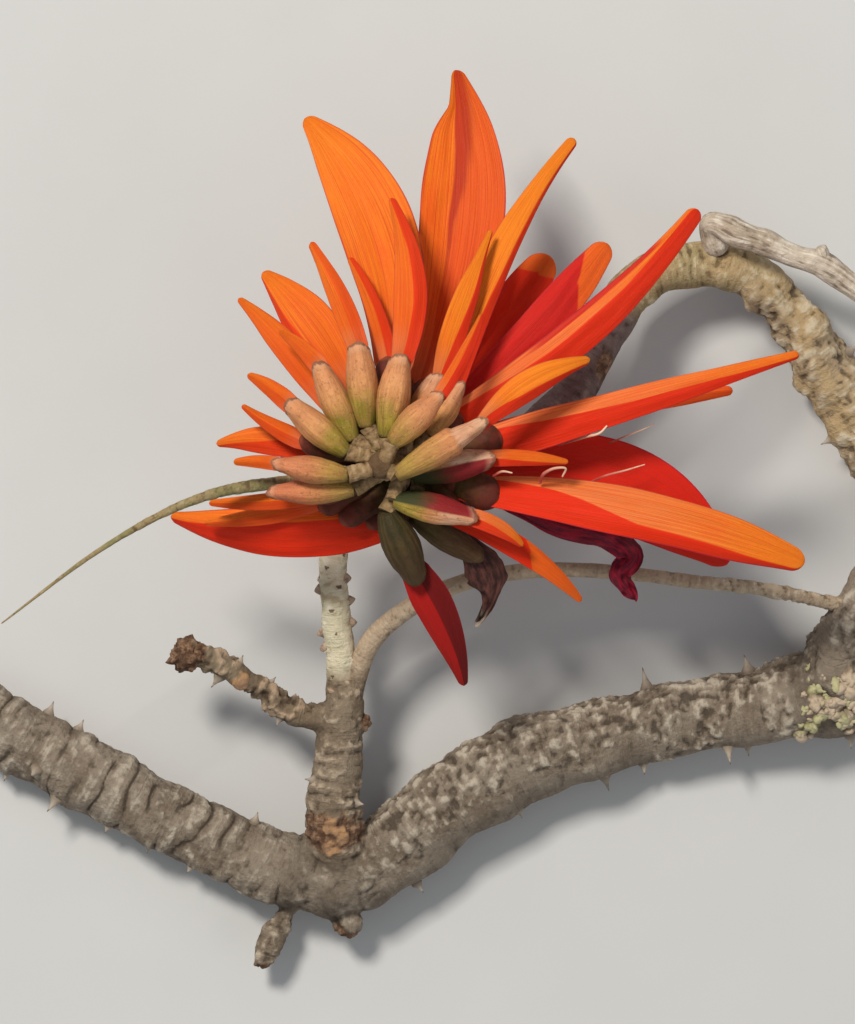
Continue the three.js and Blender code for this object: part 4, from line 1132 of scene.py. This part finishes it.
class Thorns(bpy.types.Operator):
    """Builds the short thorns of all the limbs"""

    bl_idname = "coral_branch.thorns"
    bl_label = "Thorns"

    def execute(self, context):
        foot = context.scene.branch_wood.thorn_radius / MM
        rng = random.Random(THORN_SEED)
        skins = []
        for name, limb in LIMBS.items():
            if "thorns" not in limb:
                continue
            course = course_of(name)
            blunt = name in BLUNT_THORNS
            for share, degrees, height in limb["thorns"]:
                centre, out, on, radius = course.place_at(share, degrees)
                size = foot * (BLUNT_FOOT if blunt else min(1, 0.35 + height / 5))
                root = centre + (radius - THORN_SUNK) * out
                skins.append(thorn(root, out, on, size, height, blunt, rng))
        mesh = new_mesh("thorns", *joined(skins))
        prickle = Finish("thorn_skin")
        tip = prickle.mark("tip")
        clouds = prickle.noise(prickle.place(), 900)
        knobby = prickle.mix(clouds.step(0.4, 0.65), (0.38, 0.27, 0.19), (0.2, 0.125, 0.085))
        colour = prickle.coated(
            prickle.mix(tip.step(0.2, 0.75), (0.19, 0.145, 0.105), (0.34, 0.285, 0.225)),
            (tip.step(0.82, 0.97), (0.06, 0.035, 0.025)),
            (prickle.mark("blunt") * 0.85, knobby),
            (clouds.step(0.5, 0.7) * 0.5, (0.12, 0.09, 0.07)))
        finish = prickle.surface(base_color=colour, roughness=0.6, normal=prickle.bump(clouds, 0.0001))
        add_piece("thorns", mesh, "grey_bark", finish)
        return {"FINISHED"}


def thorn(root, out, on, foot, height, blunt, rng):
    """A hooked thorn with a spreading foot, or a blunt one, from a root sunk in the bark."""
    side = np.cross(out, on)
    rise = np.linspace(0, 1, THORN_STATIONS)
    angles = circle(COLUMNS["thorn"])
    lean = rng.uniform(-0.5, 0.5)
    length = height + THORN_SUNK
    above = np.clip((rise * length - THORN_SUNK) / height, 0, 1)
    taper = BLUNT_TAPER if blunt else THORN_TAPER
    width = foot * (0.09 + 0.91 * (1 - above) ** taper) * np.where(rise > 0.98, 0.3, 1)
    centres = root + length * rise[:, None] * out + lean * (rise ** 2)[:, None] * on
    oval = 1.25 * np.cos(angles)[:, None] * on + 0.85 * np.sin(angles)[:, None] * side
    rings = centres[:, None] + width[:, None, None] * oval
    return skin(rings, {"tip": rise[:, None], "blunt": float(blunt)})


class Stalk(bpy.types.Operator):
    """Builds the stalk of the bloom with its pedicels, and the hidden calyces of its inner rings"""

    bl_idname = "coral_branch.stalk"
    bl_label = "Stalk"

    def execute(self, context):
        course = course_of("stalk", 0.5, (False, True))
        rings, marks = tube(course, COLUMNS["stalk"], (1, "stalk"))
        skins = [skin(rings, dict(marks, spot=ease(course.shares, 0.9, 0.97)[:, None]))]
        skins += [shoot(course, around(calyx["base"]), PEDICEL_GIRTH) for calyx in CALYXES.values()]
        mesh = new_mesh("bloom_stalk", *joined(skins))
        finish = bark_finish("stalk_skin", BARK_COLOURS["stalk"])
        add_piece("bloom_stalk", mesh, "stalk_skin", finish, "raceme_core")
        hidden = [petal["mouth"] for number, petal in PETALS.items() if number not in FRONT_FED]
        sleeves = [petal["sleeve"] for petal in PETALS.values() if "sleeve" in petal]
        kinds = ((hidden, HIDDEN_GIRTH), (sleeves, SLEEVE_GIRTH), (SPENT_CALYXES, SPENT_GIRTH))
        skins = [shoot(course, around(end), girth, True) for ends, girth in kinds for end in ends]
        mesh = new_mesh("inner_calyces", *joined(skins))
        cup = Finish("inner_calyx_skin")
        along = cup.mark("along")
        clouds = cup.noise(cup.place(), 500, 5)
        # Dark maroon and olive: partly the hidden calyces' own colour and partly painted shade, as they
        # lie under the front ring.
        reddish = (along + (clouds - 0.5) * 0.5).step(0.3, 0.9)
        colour = cup.coated(
            cup.mix(reddish, (0.07, 0.06, 0.013), (0.115, 0.022, 0.014)),
            (clouds.step(0.45, 0.65) * 0.7, (0.045, 0.022, 0.01)),
            (along.step(0.95, 0.99) * 0.5, (0.3, 0.09, 0.05)))
        finish = cup.surface(base_color=colour, roughness=0.6, normal=cup.bump(clouds, 0.0002),
                             specular_ior_level=0.15)
        add_piece("inner_calyces", mesh, "calyx_skin", finish, "raceme_core")
        return {"FINISHED"}


def shoot(stalk, end, girth, rounded=False):
    """A shoot from the stalk to a point, with its radii from the stalk outwards. A rounded one closes
    to a dome there."""
    share = float(np.clip((end[2] - SHOOT_LOW) / SHOOT_RISE, *SHOOT_SPAN))
    root = stalk.centres[round(share * (len(stalk.centres) - 1))]
    middle = (root + end) / 2 + np.array((0, 0, 0.8))
    course = Course((root, middle, end), girth, 0.4, (False, rounded))
    rings, marks = tube(course, COLUMNS["shoot"], (1, "shoot"))
    return skin(rings, {**marks, "along": course.shares[:, None]})


class Tail(bpy.types.Operator):
    """Builds the thin curved shoot that leaves the bloom to the left"""

    bl_idname = "coral_branch.tail"
    bl_label = "Tail"

    def execute(self, context):
        course = course_of("tail", 0.4, (False, True))
        mesh = new_mesh("tail_shoot", *skin(*tube(course, COLUMNS["tail"], (1, "tail"))))
        finish = bark_finish("tail_skin", BARK_COLOURS["tail"], gloss=0.65)
        add_piece("tail_shoot", mesh, "twig_bark", finish, "tail")
        return {"FINISHED"}


class Calyces(bpy.types.Operator):
    """Builds the calyces of the front ring"""

    bl_idname = "coral_branch.calyces"
    bl_label = "Calyces"

    def execute(self, context):
        wall = context.scene.branch_bloom.calyx_wall / MM
        finish = calyx_finish()
        for number, calyx in CALYXES.items():
            mesh = new_mesh(f"calyx_tube_{number:02}", *calyx_tube(number, calyx, wall))
            add_piece(mesh.name, mesh, "calyx_skin", finish, f"calyx_{number:02}")
        return {"FINISHED"}


def edge_noise(angles, size, seed):
    """Noise round an edge that closes on itself."""
    return np.array([noise.noise((size * math.cos(a), size * math.sin(a), seed)) for a in angles])


def calyx_tube(number, calyx, wall):
    """A calyx: a ribbed skin from its foot out to a torn mouth, and back in to the petal's claw."""
    start, end = around(calyx["base"]), around(calyx["mouth"])
    on = unit(end - start)
    top, left = level_axes(on)
    out_count, back_count = CALYX_STATIONS
    out = np.linspace(0, 1, out_count) ** 0.9
    back = np.linspace(1, 0.45, back_count)
    share = np.concatenate((out, back))
    inside = np.concatenate((np.zeros(out_count), np.linspace(0.35, 1, back_count)))
    taper = 1 - calyx.get("neck", PLAIN_NECK) / CALYX_FORM[-1][1]
    full = np.interp(share, *zip(*CALYX_FORM)) * (1 - taper * ease(share, 0.5, 1))
    lip = calyx.get("lip", 2)
    full = full * (1 + 0.08 * ease(share, lip - 0.12, lip)) * (1 - 0.2 * ease(share, lip, lip + 0.03))
    angles = circle(COLUMNS["calyx"])
    rib = np.cos(5 * angles + number) + 0.4 * np.cos(13 * angles)
    swell = np.array([[noise.noise((2.2 * s, 1.3 * math.cos(a), 1.3 * math.sin(a) + 7 * number))
                       for a in angles] for s in share])
    outer = calyx["width"] / 2 * full[:, None] * (1 + 0.025 * rib + 0.07 * swell)
    radii = outer - wall * inside[:, None]
    torn, fray = edge_noise(angles, 1.4, 3.7 * number), edge_noise(angles, 5, 9.1 * number)
    reach = 0.5 * torn + 0.25 * fray + HOOD * (np.maximum(0, np.cos(angles)) ** 1.5 - 0.5)
    near_mouth = ease(share, 0.7, 1)[:, None]
    bow = CALYX_BOW * np.sin(math.pi * share)[:, None, None] * top
    line = start + share[:, None, None] * (end - start) + bow
    ring = np.cos(angles)[None, :, None] * top + np.sin(angles)[None, :, None] * left
    rings = line + radii[..., None] * ring + (near_mouth * reach)[..., None] * on
    green, crimson, dark, pale = (*calyx.get("look", (1, 0, 0)), 0)[:4]
    begin, span = calyx.get("bare", (0.62, 0.22))
    hand, overlap = calyx.get("shade", (0, -1))
    marks = dict(along=share[:, None], angle=np.cos(angles)[None], inside=inside[:, None] > 0,
                 green=green, crimson=crimson, dark=dark, pale=pale, seed=number,
                 bare=(share[:, None] - begin) / span, shade=(hand * np.sin(angles) + overlap)[None])
    return skin(rings, {name: np.asarray(value, float) for name, value in marks.items()})


def calyx_finish():
    """Calyx skin: olive at the foot, brown-pink on the body, scurfy, with a torn brown mouth.
    Calyces 9 and 12 carry painted light on one side and painted shade on the other.
    """
    calyx = Finish("calyx_skin")
    place = calyx.place()
    along = calyx.mark("along")
    clouds = calyx.noise(place, 260, 5)
    scurf = calyx.noise(place, 2600, 4)
    spots = calyx.noise(place, 1100, 5, 0.7)
    angle, seed = calyx.mark("angle"), calyx.mark("seed")
    streaks = calyx.noise(calyx.vector(along * 1.5, angle * 5, seed), 1.6, 4)
    fibres = calyx.noise(calyx.vector(along * 3, angle * 16, seed + 20), 1.6, 3)
    drift, ripple = clouds - 0.5, streaks - 0.5
    streaky = streaks.step(0.3, 0.7)
    body = calyx.mix(streaky, (0.46, 0.19, 0.065), (0.66, 0.32, 0.12))
    body = calyx.mix((along + drift * 0.4).step(0.45, 0.85) * 0.45, body, (0.66, 0.24, 0.12))
    olive = calyx.mix(streaky, (0.2, 0.16, 0.016), (0.37, 0.285, 0.035))
    greenness = (1 - (along + drift * 0.5 + ripple * 0.3).step(0.15, 0.6)) * calyx.mark("green")
    neck = calyx.mix(streaks.step(0.35, 0.65), (0.62, 0.3, 0.18), (0.7, 0.5, 0.35))
    shaded = calyx.mix((along + drift * 0.4).step(0.25, 0.6), (0.035, 0.04, 0.01), (0.23, 0.011, 0.013))
    colour = calyx.coated(
        calyx.mix(greenness, body, olive),
        (calyx.mark("crimson") * (along + clouds * 0.3).step(0.3, 0.8), (0.4, 0.02, 0.02)),
        # A pale neck: torn skin on most calyces, and painted light on the lit side of calyces 9 and 12.
        (calyx.mark("pale") * (calyx.mark("bare") + ripple * 1.2).step(0, 1), neck),
        (clouds.step(0.45, 0.7) * 0.4, (0.38, 0.17, 0.07)),
        ((1 - (along + drift * 0.1).step(0, 0.16)) * 0.5, (0.12, 0.095, 0.03)),
        (fibres.step(0.5, 0.68) * 0.4, (0.3, 0.12, 0.045)),
        (spots.step(0.54, 0.68) * 0.5, (0.16, 0.06, 0.02)),
        (scurf.step(0.56, 0.68) * 0.3, (0.62, 0.42, 0.22)),
        ((calyx.mark("shade") + ripple * 0.3).step(-0.1, 0.1), shaded),
        ((along + drift * 0.08).step(0.88, 0.96) * 0.35, (0.66, 0.4, 0.26)),
        ((along + (spots - 0.5) * 0.12).step(0.95, 0.985) * 0.75, (0.13, 0.048, 0.025)),
        (calyx.mark("dark"), calyx.mix(streaky, (0.022, 0.017, 0.005), (0.058, 0.038, 0.012))),
        (calyx.mark("inside"), (0.18, 0.07, 0.03)))
    relief = calyx.bump(scurf * 0.6 + clouds + fibres * 0.8, 0.00026)
    return calyx.surface(base_color=colour, roughness=0.5 + scurf * 0.25, normal=relief,
                         subsurface_weight=0.1, subsurface_radius=(1.0, 0.4, 0.2),
                         subsurface_scale=0.001, specular_ior_level=0.25)


class Petals(bpy.types.Operator):
    """Builds the folded petals of the bloom"""

    bl_idname = "coral_branch.petals"
    bl_label = "Petals"

    def execute(self, context):
        bloom = context.scene.branch_bloom
        fresh = petal_finish(bloom)
        wilted = wilted_finish()
        thickness = bloom.petal_thickness / MM
        for number, petal in PETALS.items():
            mesh = new_mesh(f"blade_{number:02}", *petal_blade(number, petal, thickness))
            slot = "petal_crimson" if number in CRIMSON_PETALS else "petal_orange"
            finish = fresh
            if number in WILTED_PETALS:
                slot, finish = "petal_wilted", wilted
            add_piece(mesh.name, mesh, slot, finish, f"petal_{number:02}")
        return {"FINISHED"}


def petal_half(petal, t, length):
    """Half the width of a petal at each share of its length."""
    widths = petal["widths"]
    outline = spline([(length * i / (len(widths) - 1), width / 2) for i, width in enumerate(widths)])
    half = np.interp(t * length, outline[:, 0], outline[:, 1])
    claw = 1 - 0.35 * np.clip(-t * length / CLAW_LENGTH, 0, 1)
    tip = widths[-1] / 2
    rounding = np.clip((t - 1) * length / tip + 1, 0, 1)
    return half * claw * np.sqrt(1 - rounding ** 2)


def petal_noise(along, across, seed):
    """Noise over a petal, at places along it and across it."""
    return np.array([[noise.noise((x, y, seed)) for y in across] for x in along])


def petal_blade(number, petal, thickness):
    """A petal: a thin closed blade folded along its crease, with its claw inside its calyx."""
    start, end = around(petal["mouth"]), around(petal["tip"])
    length = math.dist(start, end)
    top, left = level_axes(unit(end - start))
    steps = np.linspace(0, 1, PETAL_STATIONS)
    t = (1 - (1 - steps) ** TIP_CLOSENESS) * (1 + CLAW_LENGTH / length) - CLAW_LENGTH / length
    t = np.minimum(t, 0.9998)
    if "via" in petal:
        line = spline((start, *petal["via"], end))
        centres = np.stack([np.interp(t, np.linspace(0, 1, len(line)), line[:, i]) for i in range(3)], 1)
        tangents = unit(np.gradient(centres, axis=0) + 1e-6)
    else:
        middle = (start + end) / 2 + 2 * petal["bow"] * left + 2 * petal["arch"] * top
        turn = t[:, None]
        centres = (1 - turn) ** 2 * start + 2 * turn * (1 - turn) * middle + turn ** 2 * end
        tangents = unit(2 * (1 - turn) * (middle - start) + 2 * turn * (end - middle))
    tops, lefts = level_axes(tangents)
    roll = math.radians(petal.get("roll", 0))
    faces = tops * math.cos(roll) + lefts * math.sin(roll)
    sides = lefts * math.cos(roll) - tops * math.sin(roll)
    half = petal_half(petal, t, length)
    ragged = petal.get("ragged", 0)
    spread = np.sin(np.linspace(-math.pi / 2, math.pi / 2, PETAL_COLUMNS))
    across = np.concatenate((spread[::-1], spread[1:-1]))
    upper = np.concatenate((np.ones(PETAL_COLUMNS), -np.ones(PETAL_COLUMNS - 2)))
    upper[[0, PETAL_COLUMNS - 1]] = 0
    creases = petal.get("crease", (0, 0))
    crease = np.interp(t, np.linspace(0, 1, len(creases)), creases)[:, None]
    crease = np.clip(crease, -0.97, 0.97)
    beyond = across - crease
    from_crease = np.where(beyond > 0, beyond / (1 - crease), -beyond / (1 + crease))
    along = t * length
    waves = petal_noise(along / 9, 2.1 * np.sign(across), 5.3 * number)
    edge = np.abs(across)[None] ** 3
    share = np.clip(t, 0, 1)[:, None]
    fold = petal.get("fold", PLAIN_FOLD) * half * np.clip(t / FOLD_START, 0, 1)
    bend = np.sqrt(from_crease ** 2 + 0.01) ** 1.15
    lift = fold[:, None] * (bend - 0.5) + (EDGE_WAVE + 2 * ragged) * edge * waves * share * 2
    broad = np.clip(half / 3, 0, 1)[:, None] * (1 - edge)
    veins = np.cos(across * 26 + 1.5 * waves) * VEIN_HEIGHT * broad
    flutes = np.cos(across * 8 + 3 * waves + number) * FLUTE_HEIGHT * broad
    lift = lift + flutes * np.clip(half / 6, 0, 1)[:, None]
    thick = thickness / 2 * (1 - 0.8 * across ** 2) * np.clip(half / 1.2, 0.15, 1)[:, None]
    lift = lift + upper * (thick + veins)
    nicks = EDGE_NICKS * waves
    if ragged:
        rumple = petal_noise(along / RUMPLE_SIZE, 1.6 * across, 7.7 * number)
        lift = lift + ragged * RUMPLE_HEIGHT * rumple * share
        bites = petal_noise(along / 3, 4.0 * np.sign(across), 2.9 * number)
        nicks = nicks + ragged * 0.5 * np.minimum(0, bites)
    nibbled = 1 + edge * nicks
    if "notch" in petal:
        begin, full, depth = petal["notch"]
        bite = np.clip((t - begin) / (full - begin), 0, 1) ** 2
        nibbled = nibbled - depth * ease(across, 0, 0.6) * bite[:, None]
    rings = (centres[:, None] + (half[:, None] * across * nibbled)[..., None] * sides[:, None]
             + lift[..., None] * faces[:, None])
    return skin(rings, petal_marks(number, petal, share, along, across, beyond, waves))


def petal_marks(number, petal, share, along, across, beyond, waves):
    """What a petal's colours go by: its places along and across, how red and how deep it is, both
    partly painted shade, and how lit it is.
    """
    deep = petal.get("deep", 0) + 0 * share
    # On a petal with a strip, deep paints its far half crimson as shade over the middle of its length.
    if "strip" in petal:
        deep = ease(share, 0.25, 0.35) * (1 - ease(share, 0.8, 0.88))
    start, slope = petal.get("lit", (2, 0))
    marks = dict(along=share, across=across[None], run=along[:, None] / 10, deep=deep,
                 past=beyond + 0.03 * waves, lit=share + 0.03 * waves + slope * across - start,
                 stripe=petal.get("stripe", 0) * ease(share, 0.25, 0.5),
                 stripe_width=FOLD_SHADOW_WIDTH * share ** 3 + 0.02,
                 salmon=petal.get("salmon", 0) * (1 - ease(share, 0.4, 0.9)))
    for name, plain in (("red", (0.5, 0.5)), ("gloom", (0, 0))):
        marks[name + "_left"], marks[name + "_right"] = petal.get(name, plain)
    for name, plain in (("strip", -2), ("gold", 0.3), ("dried", 0)):
        marks[name] = petal.get(name, plain)
    return {name: np.asarray(value, float) for name, value in dict(marks, seed=number).items()}


def petal_finish(bloom):
    """Petal skin: orange to red, golden at the tip, with fine lengthwise veins and a purple rim. The
    red is partly the petal's own and partly painted shade, with more painted shade and a painted fold
    shadow over it.
    """
    petal = Finish("petal_skin")
    names = ("along", "across", "past", "seed", "run")
    along, across, past, seed, run = (petal.mark(name) for name in names)
    streaks = petal.noise(petal.vector(run * 0.7, across * 11, seed), 1.0, 4)
    veins = petal.noise(petal.vector(run * 0.3, across * 36, seed + 40), 1.0, 2)
    clouds = petal.noise(petal.place(), 120, 3)
    stipple = petal.noise(petal.place(), 1800, 3)
    drift, ripple = clouds - 0.5, streaks - 0.5
    side = past.step(-0.04, 0.04)
    # Red and painted shade on each side of the crease. The red is partly the petal's own and partly
    # painted shade on the side of the fold turned from the light.
    red, gloom = (petal.mark(name + "_right") * (1 - side) + petal.mark(name + "_left") * side
                  for name in ("red", "gloom"))
    width = petal.mark("stripe_width")
    # The shadow that the fold casts right of the crease, painted as a dark red band.
    stripe = petal.mark("stripe") * (1 - side) * (1 - (ripple * 0.3 - past).step(width * 0.5, width))
    fresh = 1 - petal.mark("lit").step(-0.01, 0.01)
    golden = petal.mark("gold") + ripple * 1.4 + drift * 0.6 + (along - 0.5) * 0.4
    orange = petal.coated(
        petal.mix((golden + (stipple - 0.5) * 0.5).step(0, 1), bloom.petal_orange, PETAL_GOLD),
        ((1 - along.step(0, 0.25)) * 0.8, PETAL_SALMON),
        (petal.mark("salmon") * (0.6 + ripple * 2), PETAL_SALMON))
    redness = red.math("MAXIMUM", red, stripe) * fresh + ripple * 0.4 + drift * 0.2
    deep = petal.mark("deep") * (across - petal.mark("strip")).step(-0.02, 0.02) * fresh
    rim = (abs(across) + drift * 0.04).step(0.95, 0.985)
    colour = petal.coated(
        petal.mix(redness.step(0.05, 0.95), orange, bloom.petal_red),
        (deep * (0.9 + ripple * 0.5), bloom.petal_crimson),
        (veins.step(0.48, 0.64) * 0.5, (0.44, 0.03, 0.006)),
        # Painted shade, deepened where the fold's painted shadow lies.
        (gloom + stripe * 0.5, (0.07, 0.004, 0.004)),
        (rim * 0.6, (0.3, 0.012, 0.04)))
    relief = petal.bump(streaks * 0.5 + veins + stipple * 0.4, 0.00014)
    return petal.surface(base_color=colour, roughness=0.48 + streaks * 0.15, normal=relief,
                         subsurface_weight=0.12, subsurface_radius=(1.0, 0.2, 0.06),
                         subsurface_scale=0.0015, specular_ior_level=0.15)


def wilted_finish():
    """Withered petal skin: purple-black, streaked and crumpled."""
    petal = Finish("wilted_skin")
    run, across, seed = (petal.mark(name) for name in ("run", "across", "seed"))
    streaks = petal.noise(petal.vector(run * 3, across * 4, seed), 1.0, 5)
    clouds = petal.noise(petal.place(), 300, 5)
    streaky = streaks.step(0.35, 0.7)
    fresh = petal.mix(streaky, (0.1, 0.006, 0.022), (0.38, 0.009, 0.03))
    dried = petal.mix(streaky, (0.03, 0.012, 0.01), (0.13, 0.045, 0.035))
    papery = (petal.mark("along") + (streaks - 0.5) * 0.6).step(0.75, 1) * 0.7
    dried = petal.mix(papery, dried, (0.5, 0.42, 0.34))
    colour = petal.mix(petal.mark("dried"), fresh, dried)
    colour = petal.mix(clouds.step(0.5, 0.75) * 0.5, colour, (0.05, 0.02, 0.02))
    relief = petal.bump(streaks + clouds, 0.0006)
    return petal.surface(base_color=colour, roughness=0.55, normal=relief, specular_ior_level=0.2)


class Filaments(bpy.types.Operator):
    """Builds the threads of the stamens that stand out between the petals"""

    bl_idname = "coral_branch.filaments"
    bl_label = "Filaments"

    def execute(self, context):
        skins = []
        for route, radius in FILAMENTS:
            course = Course(route, (radius, radius, 0.8 * radius, 0.5 * radius), 0.4)
            skins.append(plain_tube(course, COLUMNS["filament"], {"along": course.shares[:, None]}))
        mesh = new_mesh("filaments", *joined(skins))
        thread = Finish("filament_skin")
        colour = thread.coated(
            thread.mix(thread.mark("along").step(0.2, 0.9), (0.42, 0.06, 0.04), (0.74, 0.5, 0.34)),
            (thread.noise(thread.place(), 800).step(0.5, 0.7) * 0.5, (0.6, 0.2, 0.14)))
        finish = thread.surface(base_color=colour, roughness=0.5)
        add_piece("filaments", mesh, "petal_orange", finish)
        return {"FINISHED"}


class Lichen(bpy.types.Operator):
    """Builds the green-yellow and tan lichen nodules on the knot at the right end"""

    bl_idname = "coral_branch.lichen"
    bl_label = "Lichen"

    def execute(self, context):
        rng = random.Random(LICHEN_SEED)
        courses = {name: course_of(name) for name, *_ in LICHEN_PLACES}
        skins = []
        for _ in range(LICHEN_COUNT):
            name, low, high, side = rng.choice(LICHEN_PLACES)
            share, degrees = rng.uniform(low, high), rng.gauss(side, LICHEN_SCATTER)
            centre, out, _, radius = courses[name].place_at(share, degrees)
            size = rng.uniform(*LICHEN_SIZES)
            points, faces, _ = ball((0, 0, 0), 1)
            swell = 1 + LICHEN_KNOBS * (billows(points + rng.uniform(0, 90), 1.3)[:, None] - 0.5)
            marks = {"top": np.clip(points @ out, 0, 1), "tan": np.full(len(points), rng.random())}
            skins.append((centre + (radius - 0.25 * size) * out + size * swell * points, faces, marks))
        mesh = new_mesh("lichen", *joined(skins))
        crust = Finish("lichen_skin")
        clouds = crust.noise(crust.place(), 700, 4)
        tan = crust.mark("tan").step(0.35, 0.5)
        dark, light = (crust.mix(tan, *tints) for tints in zip(*LICHEN_TINTS))
        # Painted shade at the foot of each nodule and painted light on its top.
        colour = crust.mix((crust.mark("top") + (clouds - 0.5) * 1.1).step(0.2, 0.9), dark, light)
        finish = crust.surface(base_color=colour, roughness=0.9, normal=crust.bump(clouds, 0.0004))
        add_piece("lichen", mesh, "grey_bark", finish)
        return {"FINISHED"}


class Stage(bpy.types.Operator):
    """Sets the camera over the branch, the pale floor and the soft lights"""

    bl_idname = "coral_branch.stage"
    bl_label = "Stage"

    def execute(self, context):
        scene = context.scene
        stage = scene.branch_stage
        lens = bpy.data.cameras.new("camera")
        lens.sensor_width = SENSOR_WIDTH
        lens.lens = stage.focal_length
        camera = placed("camera", lens)
        shift = PLAN_SHIFT * MM
        camera.location = (shift[0], shift[1], shift[2] + stage.camera_height)
        scene.camera = camera
        scene.view_settings.view_transform = "Standard"
        half = stage.floor_size / 2
        floor = bpy.data.meshes.new("floor")
        corners = [(x * half, y * half, 0) for x, y in ((-1, -1), (1, -1), (1, 1), (-1, 1))]
        floor.from_pydata(corners, [], [(0, 1, 2, 3)])
        sheet = placed("floor", floor)
        paper = Finish("floor_paper")
        colour = paper.mix(paper.noise(paper.place(), 40, 2), *FLOOR_GREYS)
        floor.materials.append(paper.surface(base_color=colour, roughness=0.9))
        for name, way, distance, size, power in LIGHTS:
            lamp = bpy.data.lights.new(name, "AREA")
            lamp.size = size
            lamp.energy = power * stage.sun_power
            lamp.color = LAMP_COLOUR
            light = placed(name, lamp)
            way = unit(np.array(way))
            light.location = way * distance
            light.rotation_euler = (-Vector(way)).to_track_quat("-Z", "Y").to_euler()
        world = bpy.data.worlds.new("sky")
        world.use_nodes = True
        sky = world.node_tree.nodes["Background"]
        sky.inputs["Color"].default_value = SKY_COLOUR
        sky.inputs["Strength"].default_value = SKY_STRENGTH
        scene.world = world
        return {"FINISHED"}


class BranchPanel(bpy.types.Panel):
    """Lists the steps that build the branch"""

    bl_idname = "VIEW3D_PT_coral_branch"
    bl_label = "Coral Branch"
    bl_space_type = "VIEW_3D"
    bl_region_type = "UI"
    bl_category = "Coral Branch"

    def draw(self, context):
        for group in SETTINGS:
            box = self.layout.box()
            settings = getattr(context.scene, group)
            for name in settings.__annotations__:
                box.prop(settings, name)
        for operator in OPERATORS:
            self.layout.operator(operator.bl_idname)


SETTINGS = {"branch_wood": WoodSettings, "branch_bloom": BloomSettings, "branch_stage": StageSettings}
OPERATORS = (Stage, GreyLimbs, Stems, FarLimb, BrokenTwig, Thorns, Stalk, Tail, Calyces, Petals,
             Filaments, Lichen)


def register():
    """Registers the settings, the operators and the panel."""
    for cls in (*SETTINGS.values(), *OPERATORS, BranchPanel):
        bpy.utils.register_class(cls)
    for name, cls in SETTINGS.items():
        setattr(bpy.types.Scene, name, PointerProperty(type=cls))


def unregister():
    """Takes away what register adds."""
    for name in SETTINGS:
        delattr(bpy.types.Scene, name)
    for cls in (BranchPanel, *reversed(OPERATORS), *SETTINGS.values()):
        bpy.utils.unregister_class(cls)


def main():
    register()
    for operator in OPERATORS:
        group, name = operator.bl_idname.split(".")
        getattr(getattr(bpy.ops, group), name)()


if __name__ == "__main__":
    main()
